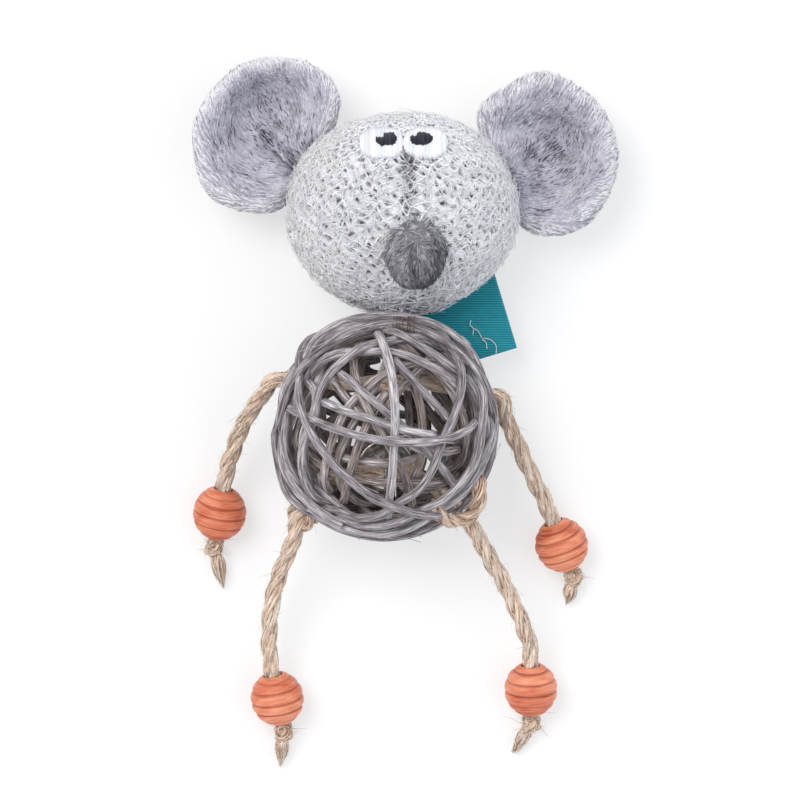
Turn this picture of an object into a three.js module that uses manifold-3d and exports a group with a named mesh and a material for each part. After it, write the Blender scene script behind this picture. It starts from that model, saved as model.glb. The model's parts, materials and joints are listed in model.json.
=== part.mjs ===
// A catnip toy mouse for a cat, lying on its back as it is photographed.
// A ball wound from rattan strands is the body. A stuffed, knitted head is tied to its top.
// Two jute ropes cross the ball and come out as arms and legs, each with a grooved wooden bead.
// Millimetres. +Z is up, out of the mouse's front, and +Y runs from the ball to the head.
// Left and right are the sides that someone sees who looks at the mouse's face.
import * as THREE from "three";
import { mergeVertices } from "three/addons/utils/BufferGeometryUtils.js";
import Module from "manifold-3d";

const wasm = await Module();
wasm.setup();

// Driving dimensions
const BALL_RADIUS = 32;
const STRAND_DIAMETER = 2.6;
const LAYER_GAP = 0.45; // between one layer of strands and the next
const ROPE_DIAMETER = 4.4;
const TOUCH_GAP = 0.3; // left between two pieces that touch
const MOVE_GAP = 0.4; // left round a piece that turns on another

const HEAD_WIDTH = 64.8;
const HEAD_LENGTH = 55.8;
const HEAD_DEPTH = 50;
const HEAD_SHIFT = 4.9; // the head's middle lies this far to the right of the ball's
const HEAD_SIDES = 20;
const HEAD_RINGS = 12;
const SKIN_THICKNESS = 1.5;
const REST_FLAT_DEPTH = 0.5; // how deep the stuffed head is cut flat where it rests
const NECK_GAP = 1.7; // room between the ball and the chin, for the head to nod
const NECK_HOLE_RADIUS = 4.5;
const CHIN_TAPER_SHARE = 0.1; // the share of its depth that the head loses at the chin
const POUCH_LENGTH = 24;
const POUCH_RADIUS = 8;
const FILLING_SLOT_RADIUS = 3;

const NOSE_RADIUS = 8.7;
const NOSE_LENGTH = 17;
const NOSE_COVER = 1.2;
const NOSE_RIGHT = 3.6; // from the head's middle
const NOSE_DOWN = 10.6; // from the head's middle, towards the chin
const NOSE_SUNK = 3; // how far the dome's base lies inside the head before it is cut
const NOSE_LEAN_DEG = 36; // from straight up, towards the chin

const EYE_THICKNESS = 0.8;
const PUPIL_THICKNESS = 0.6;
const EYE_UP = 18.2; // from the head's middle, towards the crown
const EYE_HEIGHT = 9.2;
const LEFT_EYE_RIGHT = -6.6; // from the head's middle
const LEFT_EYE_WIDTH = 10;
const LEFT_PUPIL_RIGHT = 2; // from the eye's middle
const LEFT_PUPIL_WIDTH = 5.6;
const RIGHT_EYE_RIGHT = 6.7;
const RIGHT_EYE_WIDTH = 11.4;
const RIGHT_PUPIL_RIGHT = -1.5;
const RIGHT_PUPIL_WIDTH = 6.2;
const EYES = [
  {
    side: "left", right: LEFT_EYE_RIGHT, width: LEFT_EYE_WIDTH,
    pupilRight: LEFT_PUPIL_RIGHT, pupilWidth: LEFT_PUPIL_WIDTH,
  },
  {
    side: "right", right: RIGHT_EYE_RIGHT, width: RIGHT_EYE_WIDTH,
    pupilRight: RIGHT_PUPIL_RIGHT, pupilWidth: RIGHT_PUPIL_WIDTH,
  },
];
const PUPIL_UP = 1;
const PUPIL_HEIGHT = 4;

const EAR_PANEL = 1.5;
const EAR_TILT_DEG = 8; // the ear rises away from the head
const EAR_ROOT_HEIGHT = 14; // above what the toy lies on
const EAR_RIM = 3.4; // thickness of the sewn rim
const EAR_SUNK = 0.8; // how far the root is set into the head's outline before it is cut
const EAR_PUFF = 5.6; // what the stuffing adds to the rim's thickness
const EAR_DISH = 3.6; // how deep the middle of the ear lies
const EAR_FOLD_DEG = 24; // how far an ear folds towards the face
const EAR_DROOP_DEG = 12; // how far an ear droops towards the back
const EAR_SEGMENTS = 18;
const LEFT_EAR_RADIUS = 21.8;
const LEFT_EAR_REACH = 15.5; // from its root to its middle
const RIGHT_EAR_RADIUS = 22.5;
const RIGHT_EAR_REACH = 13.5;
const EARS = [
  { side: "left", radius: LEFT_EAR_RADIUS, reach: LEFT_EAR_REACH, heading: 150.9 },
  { side: "right", radius: RIGHT_EAR_RADIUS, reach: RIGHT_EAR_REACH, heading: 22.3 },
];

const BEAD_DIAMETER = 15.1;
const BEAD_LENGTH = 14.6;
const BEAD_BORE_RADIUS = 2.6;
const BEAD_GROOVES = 5;
const GROOVE_DEPTH = 0.7;
const GROOVE_WIDTH = 1.0;
const BEAD_SEGMENTS = 14;
const BEAD_END_RADIUS = 4.2; // the flat round each end of the bore

const KNOT_RADIUS = 3.4;
const KNOT_LENGTH = 5.2;
const LEFT_HIP_KNOT_RADIUS = 4.2;
const LEFT_HIP_KNOT_LENGTH = 5;
const RIGHT_HIP_KNOT_RADIUS = 5.4;
const RIGHT_HIP_KNOT_LENGTH = 7;
const TAIL_TIP_RADIUS = 1.5;
const TAIL_RADIUS = 2.3;

const BELL_RADIUS = 7.6;
const BELL_WALL = 0.6;
const BELL_RIM = 0.5; // how far the crimped rim stands out
const BELL_RIM_HEIGHT = 0.7;
const BELL_SLOT_WIDTH = 1.6;
const BELL_SLOT_HOLE_RADIUS = 1.6;
const BELL_EYE_WIRE = 1.0;
const BELL_EYE_PLAY = 0.7; // between the eye and the rope that it hangs on
const BELL_SEGMENTS = 12;
const PEA_RADIUS = 2;

const TIE_THREAD = 1.0; // radius of the thread bundle of the neck tie
const TIE_STEM_REACH = 5; // how far the tie's stem runs on into the head

const LABEL_WIDTH = 22.5;
const LABEL_LENGTH = 24;
const LABEL_THICKNESS = 0.5;
const LABEL_FOLD_GAP = 0.6; // between the two layers of the folded ribbon
const LABEL_HEIGHT = 12; // above what the toy lies on
const LABEL_HEADING_DEG = 16.8;
const LABEL_FLAP_DEG = 14; // how far it lifts
const LABEL_RIGHT = 6.1; // its sewn end, from the head's middle
const LABEL_DOWN = 34.6; // its sewn end, from the head's middle, towards the ball

// The strands of the ball, from the outermost layer in. Each layer is one long spiral round a
// tilted axis, and a layer that shows a cut end in front is two strands, end to end.
// tilt and heading aim the axis, low and high are the latitudes between which it winds, and
// sway is how far it wanders from an even spiral, all in degrees.
const STRAND_SIDES = 6;
const STEPS_PER_LOOP = 24;
const STRAND_END_GAP = 2.4; // between the two ends of a layer that is cut
const LAYERS = [
  {
    names: ["outer_strand_a", "outer_strand_b"], turns: 5.2, tilt: 44, heading: 193,
    low: -58, high: 58, start: 172, sway: 2.5, sways: 2, swayStart: 288,
  },
  {
    names: ["second_strand_a", "second_strand_b"], turns: 4.7, tilt: 104, heading: 94,
    low: -54, high: 54, start: 302, sway: 3.1, sways: 2, swayStart: 56,
  },
  {
    names: ["third_strand"], turns: 4.4, tilt: 75, heading: 45,
    low: -52, high: 52, start: 301, sway: 2.7, sways: 3, swayStart: 348,
  },
  {
    names: ["inner_strand"], turns: 3.6, tilt: 100, heading: -28,
    low: -48, high: 48, start: 226, sway: 3.1, sways: 2, swayStart: 175,
  },
];

// Rope routes, measured from the middle of the ball. A bead's place is seen from above, and it
// rests on the floor.
const ARM_CORE_ROUTE = [
  [-31.4, 13.2, -3], [-25, 14.5, -2], [-18, 13.6, 0], [-12, 12.5, 2], [0, 12.6, 3],
  [12, 12.4, 1], [20, 11.6, -2.5], [27, 10, -6], [32.6, 8.6, -8],
];
const BELL_HANG = [0.3, -11.3, 9.3]; // the point of the leg rope that the bell hangs from
const LEG_CORE_ROUTE = [
  [-20.75, -21, -3.4], [-15.6, -16.2, -1.4], [-10.6, -13.2, 3.6], [-5.4, -11.6, 8],
  BELL_HANG, [5.6, -12.1, 9.3], [10.4, -14.4, 8.6], [15.4, -17.8, 6.8], [20, -22.1, 4],
];
const LIMBS = [
  {
    name: "left_arm",
    route: [[-31.4, 13.2, -3], [-35.3, 8.1, -5.5], [-39.6, 1.7, -10], [-42.8, -5.9, -15.5]],
    bead: [-46.8, -24.1], aim: [-0.159, -0.937, -0.31], tail: [-45.9, -44.8, -29.2],
  },
  {
    name: "right_arm",
    route: [[32.6, 8.6, -8], [34, 2.6, -11], [36.9, -3.6, -14], [40, -10.6, -17]],
    bead: [49.9, -33.1], aim: [0.342, -0.885, -0.31], tail: [51.5, -49.6, -29.2],
  },
  {
    name: "left_leg",
    knot: {
      radius: LEFT_HIP_KNOT_RADIUS, length: LEFT_HIP_KNOT_LENGTH, middle: [-20.75, -21, -3.4],
    },
    route: [[-24.2, -24.6, -4], [-26, -32.2, -9], [-29.1, -39.4, -12.5], [-31.4, -47, -15.5],
      [-32.7, -56.4, -18]],
    bead: [-30.5, -76.5], aim: [0.171, -0.936, -0.31], tail: [-29.7, -95.5, -29.2],
  },
  {
    name: "right_leg",
    knot: {
      radius: RIGHT_HIP_KNOT_RADIUS, length: RIGHT_HIP_KNOT_LENGTH, middle: [20, -22.1, 4],
    },
    route: [[23.6, -26.2, 1.5], [27, -32.4, -3.2], [30, -37.8, -7.6], [33.9, -44.6, -12],
      [37.8, -53, -15.6]],
    bead: [41.2, -73.9], aim: [0.019, -0.951, -0.31], tail: [36.4, -91.9, -29.2],
  },
];
const limb = (name) => LIMBS.find((one) => one.name === name);
const ROPE_SIDES = 8;
const ROPE_STEP_SHARE = 2.4; // rope diameters from one ring of a rope to the next
const STRAIGHT_RUN = 12; // how far the rope runs straight into its bead

// Colours and finishes
const plain = (color, roughness, metalness = 0) =>
  new THREE.MeshStandardMaterial({ color, roughness, metalness });
const MATERIALS = {
  knit: plain(0xc8c8cc, 0.95),
  plush: plain(0xb9b4bc, 0.95),
  nosePlush: plain(0x68666a, 0.95),
  filling: plain(0xf2f0ea, 1),
  catnip: plain(0x7d8a58, 1),
  eyeWhite: plain(0xeef1f6, 0.6),
  pupil: plain(0x232632, 0.6),
  strand: plain(0x9b979c, 0.75),
  jute: plain(0xb89a72, 0.95),
  bead: plain(0xd0714f, 0.5),
  brownThread: plain(0x7b5a3d, 0.8),
  label: plain(0x0f8797, 0.7),
  bell: plain(0xb9b6ae, 0.25, 1),
};

const DEGREE = Math.PI / 180;
const OVERRUN = 1; // how far a cutter passes the face that it cuts
const ON_AXIS_SHARE = 1e-6; // a place this near to an axis is on it

const mouse = new THREE.Group();
const vector = (place) => new THREE.Vector3(...place);

// A closed geometry as a solid that can be joined and cut.
function solidOf(geometry) {
  const bare = geometry.clone();
  bare.deleteAttribute("normal");
  bare.deleteAttribute("uv");
  const merged = mergeVertices(bare, 1e-4);
  return new wasm.Manifold(
    new wasm.Mesh({
      numProp: 3,
      vertProperties: merged.attributes.position.array,
      triVerts: new Uint32Array(merged.index.array),
    }),
  );
}

function geometryOf(solid) {
  const mesh = solid.getMesh();
  const geometry = new THREE.BufferGeometry();
  geometry.setAttribute("position", new THREE.BufferAttribute(mesh.vertProperties, 3));
  geometry.setIndex(new THREE.BufferAttribute(mesh.triVerts, 1));
  geometry.computeVertexNormals();
  return geometry;
}

const moved = (solid, matrix) => solid.transform(matrix.elements);

function addPiece(parent, name, geometry, material) {
  const mesh = new THREE.Mesh(geometry, material);
  mesh.name = name;
  parent.add(mesh);
  return mesh;
}

// Turns a piece's own +Y to a direction.
const aimY = (direction) =>
  new THREE.Quaternion().setFromUnitVectors(new THREE.Vector3(0, 1, 0), direction);

// A cylinder from one place to another.
function rod(from, to, radius, sides) {
  const along = to.clone().sub(from);
  const geometry = new THREE.CylinderGeometry(radius, radius, along.length(), sides);
  geometry.applyQuaternion(aimY(along.clone().normalize()));
  const middle = from.clone().add(to).multiplyScalar(1 / 2);
  geometry.translate(middle.x, middle.y, middle.z);
  return geometry;
}

// Strands of the ball

const layerRadius = (layer) =>
  BALL_RADIUS - STRAND_DIAMETER / 2 - layer * (STRAND_DIAMETER + LAYER_GAP);

const tieOuterRadius = STRAND_DIAMETER / 2 + TOUCH_GAP + 2 * TIE_THREAD;

const splineOf = (places) =>
  new THREE.CatmullRomCurve3(places.map(vector), false, "centripetal");

// Where the ropes pass through a layer, and the angle that its strands keep from each place.
const CROSSING_SHARE = 1.08; // a rope crosses a layer at a slant, so it takes more than its width
const PUSH_REACH_SHARE = 4; // a strand is pushed aside within this share of the room that it keeps
const ROUTE_SAMPLES = 400;
function passagesOf(layer, tie) {
  const radius = layerRadius(layer);
  const found = [];
  const keepOff = (place, room) =>
    found.push({ toward: place.clone().normalize(), angle: room / radius });
  const legRoute = [limb("left_leg").route[0], ...LEG_CORE_ROUTE, limb("right_leg").route[0]];
  for (const route of [ARM_CORE_ROUTE, legRoute]) {
    const places = splineOf(route).getSpacedPoints(ROUTE_SAMPLES);
    places.slice(1).forEach((place, i) => {
      if ((places[i].length() - radius) * (place.length() - radius) < 0) {
        const room = (ROPE_DIAMETER + STRAND_DIAMETER) / 2 + LAYER_GAP;
        keepOff(place, room * CROSSING_SHARE);
      }
    });
  }
  for (const { knot } of LIMBS) {
    if (!knot) continue;
    const middle = vector(knot.middle);
    if (Math.abs(middle.length() - radius) < knot.radius + STRAND_DIAMETER / 2)
      keepOff(middle, knot.radius + STRAND_DIAMETER / 2 + LAYER_GAP);
  }
  if (tie) {
    const away = tieOuterRadius + STRAND_DIAMETER / 2 + LAYER_GAP;
    const deep = layerRadius(0) - radius;
    if (deep < away) keepOff(tie, Math.sqrt(away ** 2 - deep ** 2));
  }
  return found;
}

// The places along one layer's spiral, pushed aside where something passes through.
function spiral(layer, passages) {
  const { tilt, heading, turns, low, high, start, sway, sways, swayStart } = LAYERS[layer];
  const axis = new THREE.Vector3(
    Math.sin(tilt * DEGREE) * Math.cos(heading * DEGREE),
    Math.sin(tilt * DEGREE) * Math.sin(heading * DEGREE),
    Math.cos(tilt * DEGREE),
  );
  const across = new THREE.Vector3(0, 0, 1).cross(axis).normalize();
  const third = axis.clone().cross(across);
  const steps = Math.round(STEPS_PER_LOOP * turns);
  const places = [];
  for (let step = 0; step <= steps; step += 1) {
    const share = step / steps;
    const turn = start * DEGREE + share * turns * 2 * Math.PI;
    const wander = sway * Math.sin(sways * turn + swayStart * DEGREE);
    const latitude = (low + (high - low) * share + wander) * DEGREE;
    const place = across
      .clone()
      .multiplyScalar(Math.cos(latitude) * Math.cos(turn))
      .addScaledVector(third, Math.cos(latitude) * Math.sin(turn))
      .addScaledVector(axis, Math.sin(latitude));
    for (const { toward, angle } of passages) {
      const apart = place.angleTo(toward);
      if (apart > PUSH_REACH_SHARE * angle) continue;
      const wide = (apart ** 4 + angle ** 4) ** (1 / 4);
      const aside = place.clone().addScaledVector(toward, -place.dot(toward)).normalize();
      place
        .copy(toward)
        .multiplyScalar(Math.cos(wide))
        .addScaledVector(aside, Math.sin(wide));
    }
    places.push(place.multiplyScalar(layerRadius(layer)));
  }
  return places;
}

// One unbroken tube round the places of a strand. Its rings stand on the ball's own radius, so
// they don't twist, and each end runs straight for one strand diameter.
function strandTube(spots) {
  const places = [...spots];
  const first = places[0].clone().sub(places[1]).setLength(STRAND_DIAMETER).add(places[0]);
  const last = places.at(-1).clone().sub(places.at(-2)).setLength(STRAND_DIAMETER);
  places.unshift(first);
  places.push(last.add(places.at(-1)));
  const corners = [];
  places.forEach((place, i) => {
    const before = places[Math.max(i - 1, 0)];
    const after = places[Math.min(i + 1, places.length - 1)];
    const along = after.clone().sub(before).normalize();
    const outward = place.clone().addScaledVector(along, -place.dot(along)).normalize();
    const sideways = along.clone().cross(outward);
    for (let side = 0; side < STRAND_SIDES; side += 1) {
      const turn = ((side + 1 / 2) / STRAND_SIDES) * 2 * Math.PI;
      const corner = place
        .clone()
        .addScaledVector(outward, (Math.cos(turn) * STRAND_DIAMETER) / 2)
        .addScaledVector(sideways, (Math.sin(turn) * STRAND_DIAMETER) / 2);
      corners.push(...corner.toArray());
    }
  });
  const faces = [];
  const at = (ring, side) => ring * STRAND_SIDES + (side % STRAND_SIDES);
  for (let ring = 0; ring + 1 < places.length; ring += 1) {
    for (let side = 0; side < STRAND_SIDES; side += 1) {
      faces.push(at(ring, side), at(ring, side + 1), at(ring + 1, side));
      faces.push(at(ring, side + 1), at(ring + 1, side + 1), at(ring + 1, side));
    }
  }
  for (let side = 1; side + 1 < STRAND_SIDES; side += 1) {
    faces.push(at(0, 0), at(0, side + 1), at(0, side));
    const end = places.length - 1;
    faces.push(at(end, 0), at(end, side), at(end, side + 1));
  }
  const geometry = new THREE.BufferGeometry();
  geometry.setAttribute("position", new THREE.Float32BufferAttribute(corners, 3));
  geometry.setIndex(faces);
  return geometry;
}

// The least gap that a strand leaves to itself, from one loop to the next.
function leastGap(places) {
  let least = Infinity;
  places.forEach((place, i) => {
    places.slice(i + STEPS_PER_LOOP / 4).forEach((other) => {
      least = Math.min(least, place.distanceTo(other));
    });
  });
  return least - STRAND_DIAMETER;
}

// The head's middle, as seen from the ball's, and the way from one to the other.
const outerPlaces = spiral(0, passagesOf(0));
const outerTube = new THREE.Box3().setFromPoints(outerPlaces);
const lowestStrand = outerTube.min.z - STRAND_DIAMETER / 2;
const floorHeight = lowestStrand + STRAND_DIAMETER / 10; // what it lies on, from the ball's middle
const headRise = floorHeight + HEAD_DEPTH / 2 - REST_FLAT_DEPTH;
const headAway = BALL_RADIUS + NECK_GAP + HEAD_LENGTH / 2;
const headPlace = new THREE.Vector3(
  HEAD_SHIFT,
  Math.sqrt(headAway ** 2 - HEAD_SHIFT ** 2 - headRise ** 2),
  headRise,
);
const neckWay = headPlace.clone().normalize();

// The spot on the outermost strand that the head is tied to.
const tieAim = neckWay.clone().multiplyScalar(layerRadius(0));
let tieStep = 0;
outerPlaces.forEach((place, i) => {
  if (place.distanceTo(tieAim) < outerPlaces[tieStep].distanceTo(tieAim)) tieStep = i;
});
const tiePlace = outerPlaces[tieStep];
const tieAlong = outerPlaces[tieStep + 1].clone().sub(outerPlaces[tieStep - 1]).normalize();

const floorCutter = (() => {
  const size = 4 * (BALL_RADIUS + HEAD_LENGTH);
  const box = new THREE.BoxGeometry(size, size, size);
  box.translate(0, 0, floorHeight - size / 2);
  return solidOf(box);
})();

LAYERS.forEach(({ names }, layer) => {
  const places = layer ? spiral(layer, passagesOf(layer, tiePlace)) : outerPlaces;
  const room = STRAND_END_GAP + 2 * STRAND_DIAMETER;
  const stepLength = places[1].distanceTo(places[0]);
  const skipped = Math.ceil(room / stepLength);
  const perStrand = Math.floor((places.length - skipped * (names.length - 1)) / names.length);
  names.forEach((name, i) => {
    const begin = i * (perStrand + skipped);
    const own = places.slice(begin, i + 1 < names.length ? begin + perStrand : places.length);
    const solid = solidOf(strandTube(own)).subtract(floorCutter);
    addPiece(mouse, name, geometryOf(solid), MATERIALS.strand);
    console.log(name + " leaves itself at least " + leastGap(own).toFixed(2) + " mm");
  });
});

// The thread that ties the head on: a ring round a strand, and a stem that runs into the head.
{
  const ring = new THREE.TorusGeometry(
    STRAND_DIAMETER / 2 + TOUCH_GAP + TIE_THREAD, TIE_THREAD, 8, 14,
  );
  ring.applyQuaternion(
    new THREE.Quaternion().setFromUnitVectors(new THREE.Vector3(0, 0, 1), tieAlong),
  );
  ring.translate(tiePlace.x, tiePlace.y, tiePlace.z);
  const stemFrom = tiePlace.clone().setLength(layerRadius(0) + tieOuterRadius - TIE_THREAD);
  const tip = neckWay.clone().setLength(BALL_RADIUS + NECK_GAP + TIE_STEM_REACH - TIE_THREAD);
  const end = new THREE.SphereGeometry(TIE_THREAD, 8, 6);
  end.translate(tip.x, tip.y, tip.z);
  const tied = solidOf(ring)
    .add(solidOf(rod(stemFrom, tip, TIE_THREAD, 8)))
    .add(solidOf(end));
  addPiece(mouse, "neck_tie", geometryOf(tied), MATERIALS.brownThread);
}

// Ropes
function ropeTube(places) {
  const path = splineOf(places);
  const steps = Math.max(2, Math.round(path.getLength() / (ROPE_STEP_SHARE * ROPE_DIAMETER)));
  const section = new THREE.Shape(
    Array.from({ length: ROPE_SIDES }, (_, side) => {
      const turn = ((side + 1 / 2) / ROPE_SIDES) * 2 * Math.PI;
      return new THREE.Vector2(Math.cos(turn), Math.sin(turn)).multiplyScalar(ROPE_DIAMETER / 2);
    }),
  );
  return new THREE.ExtrudeGeometry(section, { steps, bevelEnabled: false, extrudePath: path });
}

// A route whose two ends are drawn back from the pieces that they meet.
function drawnBack(route, atStart, atEnd) {
  const places = route.map(vector);
  const pull = (end, next, room) => end.lerp(next, room / end.distanceTo(next));
  pull(places[0], places[1], atStart);
  pull(places.at(-1), places.at(-2), atEnd);
  return places.map((place) => place.toArray());
}

const limbEnd = ROPE_DIAMETER / 2 + TOUCH_GAP; // from a limb's pivot to the face that it meets
addPiece(
  mouse, "arm_rope_core",
  ropeTube(drawnBack(ARM_CORE_ROUTE, limbEnd, limbEnd)), MATERIALS.jute,
);
addPiece(
  mouse, "leg_rope_core",
  ropeTube(
    drawnBack(
      LEG_CORE_ROUTE,
      limb("left_leg").knot.length / 2 + TOUCH_GAP,
      limb("right_leg").knot.length / 2 + TOUCH_GAP,
    ),
  ),
  MATERIALS.jute,
);

// A round lump of knotted rope, its length along +Y.
function knotLump(radius, length) {
  const lump = new THREE.SphereGeometry(1, 10, 8);
  lump.scale(radius, length / 2, radius);
  return lump;
}

// A wooden bead with turned grooves, its bore along +Y.
const bulge = BEAD_DIAMETER / 2;
const ends = Math.asin(BEAD_END_RADIUS / bulge);
const beadReach = BEAD_LENGTH / 2 / Math.cos(ends); // half the length of the uncut egg shape
function beadGeometry() {
  const halfLength = BEAD_LENGTH / 2;
  const onBead = (share, depth) => {
    const turn = ends + share * (Math.PI - 2 * ends);
    const radius = Math.sin(turn) * bulge - depth;
    return new THREE.Vector2(radius, -Math.cos(turn) * beadReach);
  };
  const profile = [new THREE.Vector2(BEAD_BORE_RADIUS, -halfLength), onBead(0, 0)];
  const halfGroove = GROOVE_WIDTH / (Math.PI * bulge);
  for (let groove = 1; groove <= BEAD_GROOVES; groove += 1) {
    const middle = groove / (BEAD_GROOVES + 1);
    profile.push(onBead(middle - halfGroove, 0));
    profile.push(onBead(middle, GROOVE_DEPTH));
    profile.push(onBead(middle + halfGroove, 0));
  }
  profile.push(onBead(1, 0), new THREE.Vector2(BEAD_BORE_RADIUS, halfLength));
  profile.push(profile[0].clone());
  return new THREE.LatheGeometry(profile, BEAD_SEGMENTS);
}

for (const { name, route, bead, aim, tail, knot } of LIMBS) {
  const along = vector(aim).normalize();
  const level = Math.hypot(along.x, along.y);
  const middle = vector([...bead, floorHeight + Math.hypot(bulge * level, beadReach * along.z)]);
  const on = (distance) => middle.clone().addScaledVector(along, distance);
  const pivot = vector(route[0]);
  const knotNear = BEAD_LENGTH / 2 + MOVE_GAP;
  const places = [
    ...route,
    on(-STRAIGHT_RUN).toArray(),
    on(-STRAIGHT_RUN / 2).toArray(),
    middle.toArray(),
    on(knotNear - TOUCH_GAP).toArray(),
  ];
  const start = new THREE.SphereGeometry(ROPE_DIAMETER / 2, ROPE_SIDES, 6);
  start.translate(pivot.x, pivot.y, pivot.z);
  const rope = solidOf(ropeTube(places)).add(solidOf(start));
  addPiece(mouse, name + "_rope", geometryOf(rope), MATERIALS.jute);
  if (knot) {
    const lump = addPiece(
      mouse, name + "_hip_knot", knotLump(knot.radius, knot.length), MATERIALS.jute,
    );
    lump.position.copy(vector(knot.middle));
    lump.quaternion.copy(aimY(pivot.clone().sub(lump.position).normalize()));
  }
  const end = new THREE.Group();
  end.position.copy(middle);
  end.quaternion.copy(aimY(along));
  mouse.add(end);
  addPiece(end, name + "_bead", beadGeometry(), MATERIALS.bead);
  const stopper = addPiece(
    end, name + "_stopper_knot", knotLump(KNOT_RADIUS, KNOT_LENGTH), MATERIALS.jute,
  );
  stopper.position.y = knotNear + KNOT_LENGTH / 2;
  const knotMiddle = on(knotNear + KNOT_LENGTH / 2);
  const tailWay = vector(tail).sub(knotMiddle);
  const slant = tailWay.angleTo(along);
  const knotReach = Math.hypot(KNOT_RADIUS * Math.sin(slant), (KNOT_LENGTH / 2) * Math.cos(slant));
  const tailFrom = knotReach + TOUCH_GAP;
  const brush = new THREE.CylinderGeometry(
    TAIL_RADIUS, TAIL_TIP_RADIUS, tailWay.length() - tailFrom, ROPE_SIDES,
  );
  const frayed = addPiece(mouse, name + "_frayed_end", brush, MATERIALS.jute);
  frayed.quaternion.copy(aimY(tailWay.clone().normalize()));
  frayed.position
    .copy(knotMiddle)
    .addScaledVector(tailWay.clone().normalize(), (tailWay.length() + tailFrom) / 2);
}

// The jingle bell, hung from the leg rope inside the ball
const bellEyeRadius = ROPE_DIAMETER / 2 + BELL_EYE_PLAY + BELL_EYE_WIRE / 2;
{
  const rope = splineOf(LEG_CORE_ROUTE);
  const ropeWay = rope.getTangent(LEG_CORE_ROUTE.indexOf(BELL_HANG) / (LEG_CORE_ROUTE.length - 1));
  const bell = new THREE.Group();
  const hangLength = bellEyeRadius + BELL_RADIUS;
  bell.position.copy(vector(BELL_HANG));
  bell.position.z -= hangLength;
  mouse.add(bell);
  const inner = BELL_RADIUS - BELL_WALL;
  // Half of the bell, its flat crimped rim at the bottom.
  const halfShell = (turnedOver) => {
    const arc = (radius, from, to, steps) =>
      Array.from({ length: steps + 1 }, (_, i) => {
        const turn = from + ((to - from) * i) / steps;
        return new THREE.Vector2(Math.cos(turn) * radius, Math.sin(turn) * radius);
      });
    const rimShare = Math.asin((BELL_RIM_HEIGHT + TOUCH_GAP / 2) / BELL_RADIUS);
    const profile = [
      new THREE.Vector2(inner, TOUCH_GAP / 2),
      new THREE.Vector2(BELL_RADIUS + BELL_RIM, TOUCH_GAP / 2),
      new THREE.Vector2(BELL_RADIUS + BELL_RIM, TOUCH_GAP / 2 + BELL_RIM_HEIGHT),
      ...arc(BELL_RADIUS, rimShare, Math.PI / 2, 5),
      ...arc(inner, Math.PI / 2, rimShare, 5),
    ];
    profile.forEach((spot) => {
      if (Math.abs(spot.x) < ON_AXIS_SHARE * BELL_RADIUS) spot.x = 0;
    });
    profile.push(profile[0].clone());
    const lathe = new THREE.LatheGeometry(profile, BELL_SEGMENTS);
    lathe.rotateX(turnedOver ? -Math.PI / 2 : Math.PI / 2);
    return solidOf(lathe);
  };
  const eye = new THREE.TorusGeometry(bellEyeRadius, BELL_EYE_WIRE / 2, 6, 14);
  eye.applyQuaternion(
    new THREE.Quaternion().setFromUnitVectors(new THREE.Vector3(0, 0, 1), ropeWay),
  );
  eye.translate(0, 0, hangLength);
  const eyeClip = solidOf(new THREE.SphereGeometry(inner + BELL_WALL / 2, 12, 8));
  const upper = halfShell(false).add(solidOf(eye).subtract(eyeClip));
  addPiece(bell, "bell_upper_shell", geometryOf(upper), MATERIALS.bell);
  const reach = BELL_RADIUS + OVERRUN;
  const slot = new THREE.BoxGeometry(2 * BELL_RADIUS * Math.cos(Math.PI / 4), BELL_SLOT_WIDTH, reach);
  slot.translate(0, 0, -reach / 2 - BELL_RADIUS / 4);
  const crossSlot = slot.clone().rotateZ(Math.PI / 2);
  let lower = halfShell(true);
  lower = lower.subtract(solidOf(slot)).subtract(solidOf(crossSlot));
  for (const [x, y] of [[1, 0], [-1, 0], [0, 1], [0, -1]]) {
    const hole = new THREE.CylinderGeometry(
      BELL_SLOT_HOLE_RADIUS, BELL_SLOT_HOLE_RADIUS, BELL_RADIUS, 8,
    );
    hole.rotateX(Math.PI / 2);
    const out = BELL_RADIUS * Math.cos(Math.PI / 4);
    hole.translate(x * out, y * out, -BELL_RADIUS);
    lower = lower.subtract(solidOf(hole));
  }
  addPiece(bell, "bell_lower_shell", geometryOf(lower), MATERIALS.bell);
  const pea = addPiece(bell, "bell_pea", new THREE.SphereGeometry(PEA_RADIUS, 10, 8), MATERIALS.bell);
  pea.position.z = -(inner - PEA_RADIUS - TOUCH_GAP);
}

// Head
const head = new THREE.Group();
head.position.copy(headPlace);
mouse.add(head);

// The head's outline at a distance from its skin, as a closed geometry round its own middle.
function headForm(offset) {
  const form = new THREE.SphereGeometry(1, HEAD_SIDES, HEAD_RINGS);
  const spots = form.attributes.position;
  for (let i = 0; i < spots.count; i += 1) {
    const y = spots.getY(i);
    const taper = 1 - CHIN_TAPER_SHARE * Math.max(0, -y) ** 2;
    spots.setXYZ(
      i,
      spots.getX(i) * (HEAD_WIDTH / 2 + offset),
      y * (HEAD_LENGTH / 2 + offset),
      spots.getZ(i) * taper * (HEAD_DEPTH / 2 + offset),
    );
  }
  return form;
}
const headSolid = (offset) => solidOf(headForm(offset));
const headFloor = moved(
  floorCutter,
  new THREE.Matrix4().makeTranslation(-headPlace.x, -headPlace.y, -headPlace.z),
);
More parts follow.
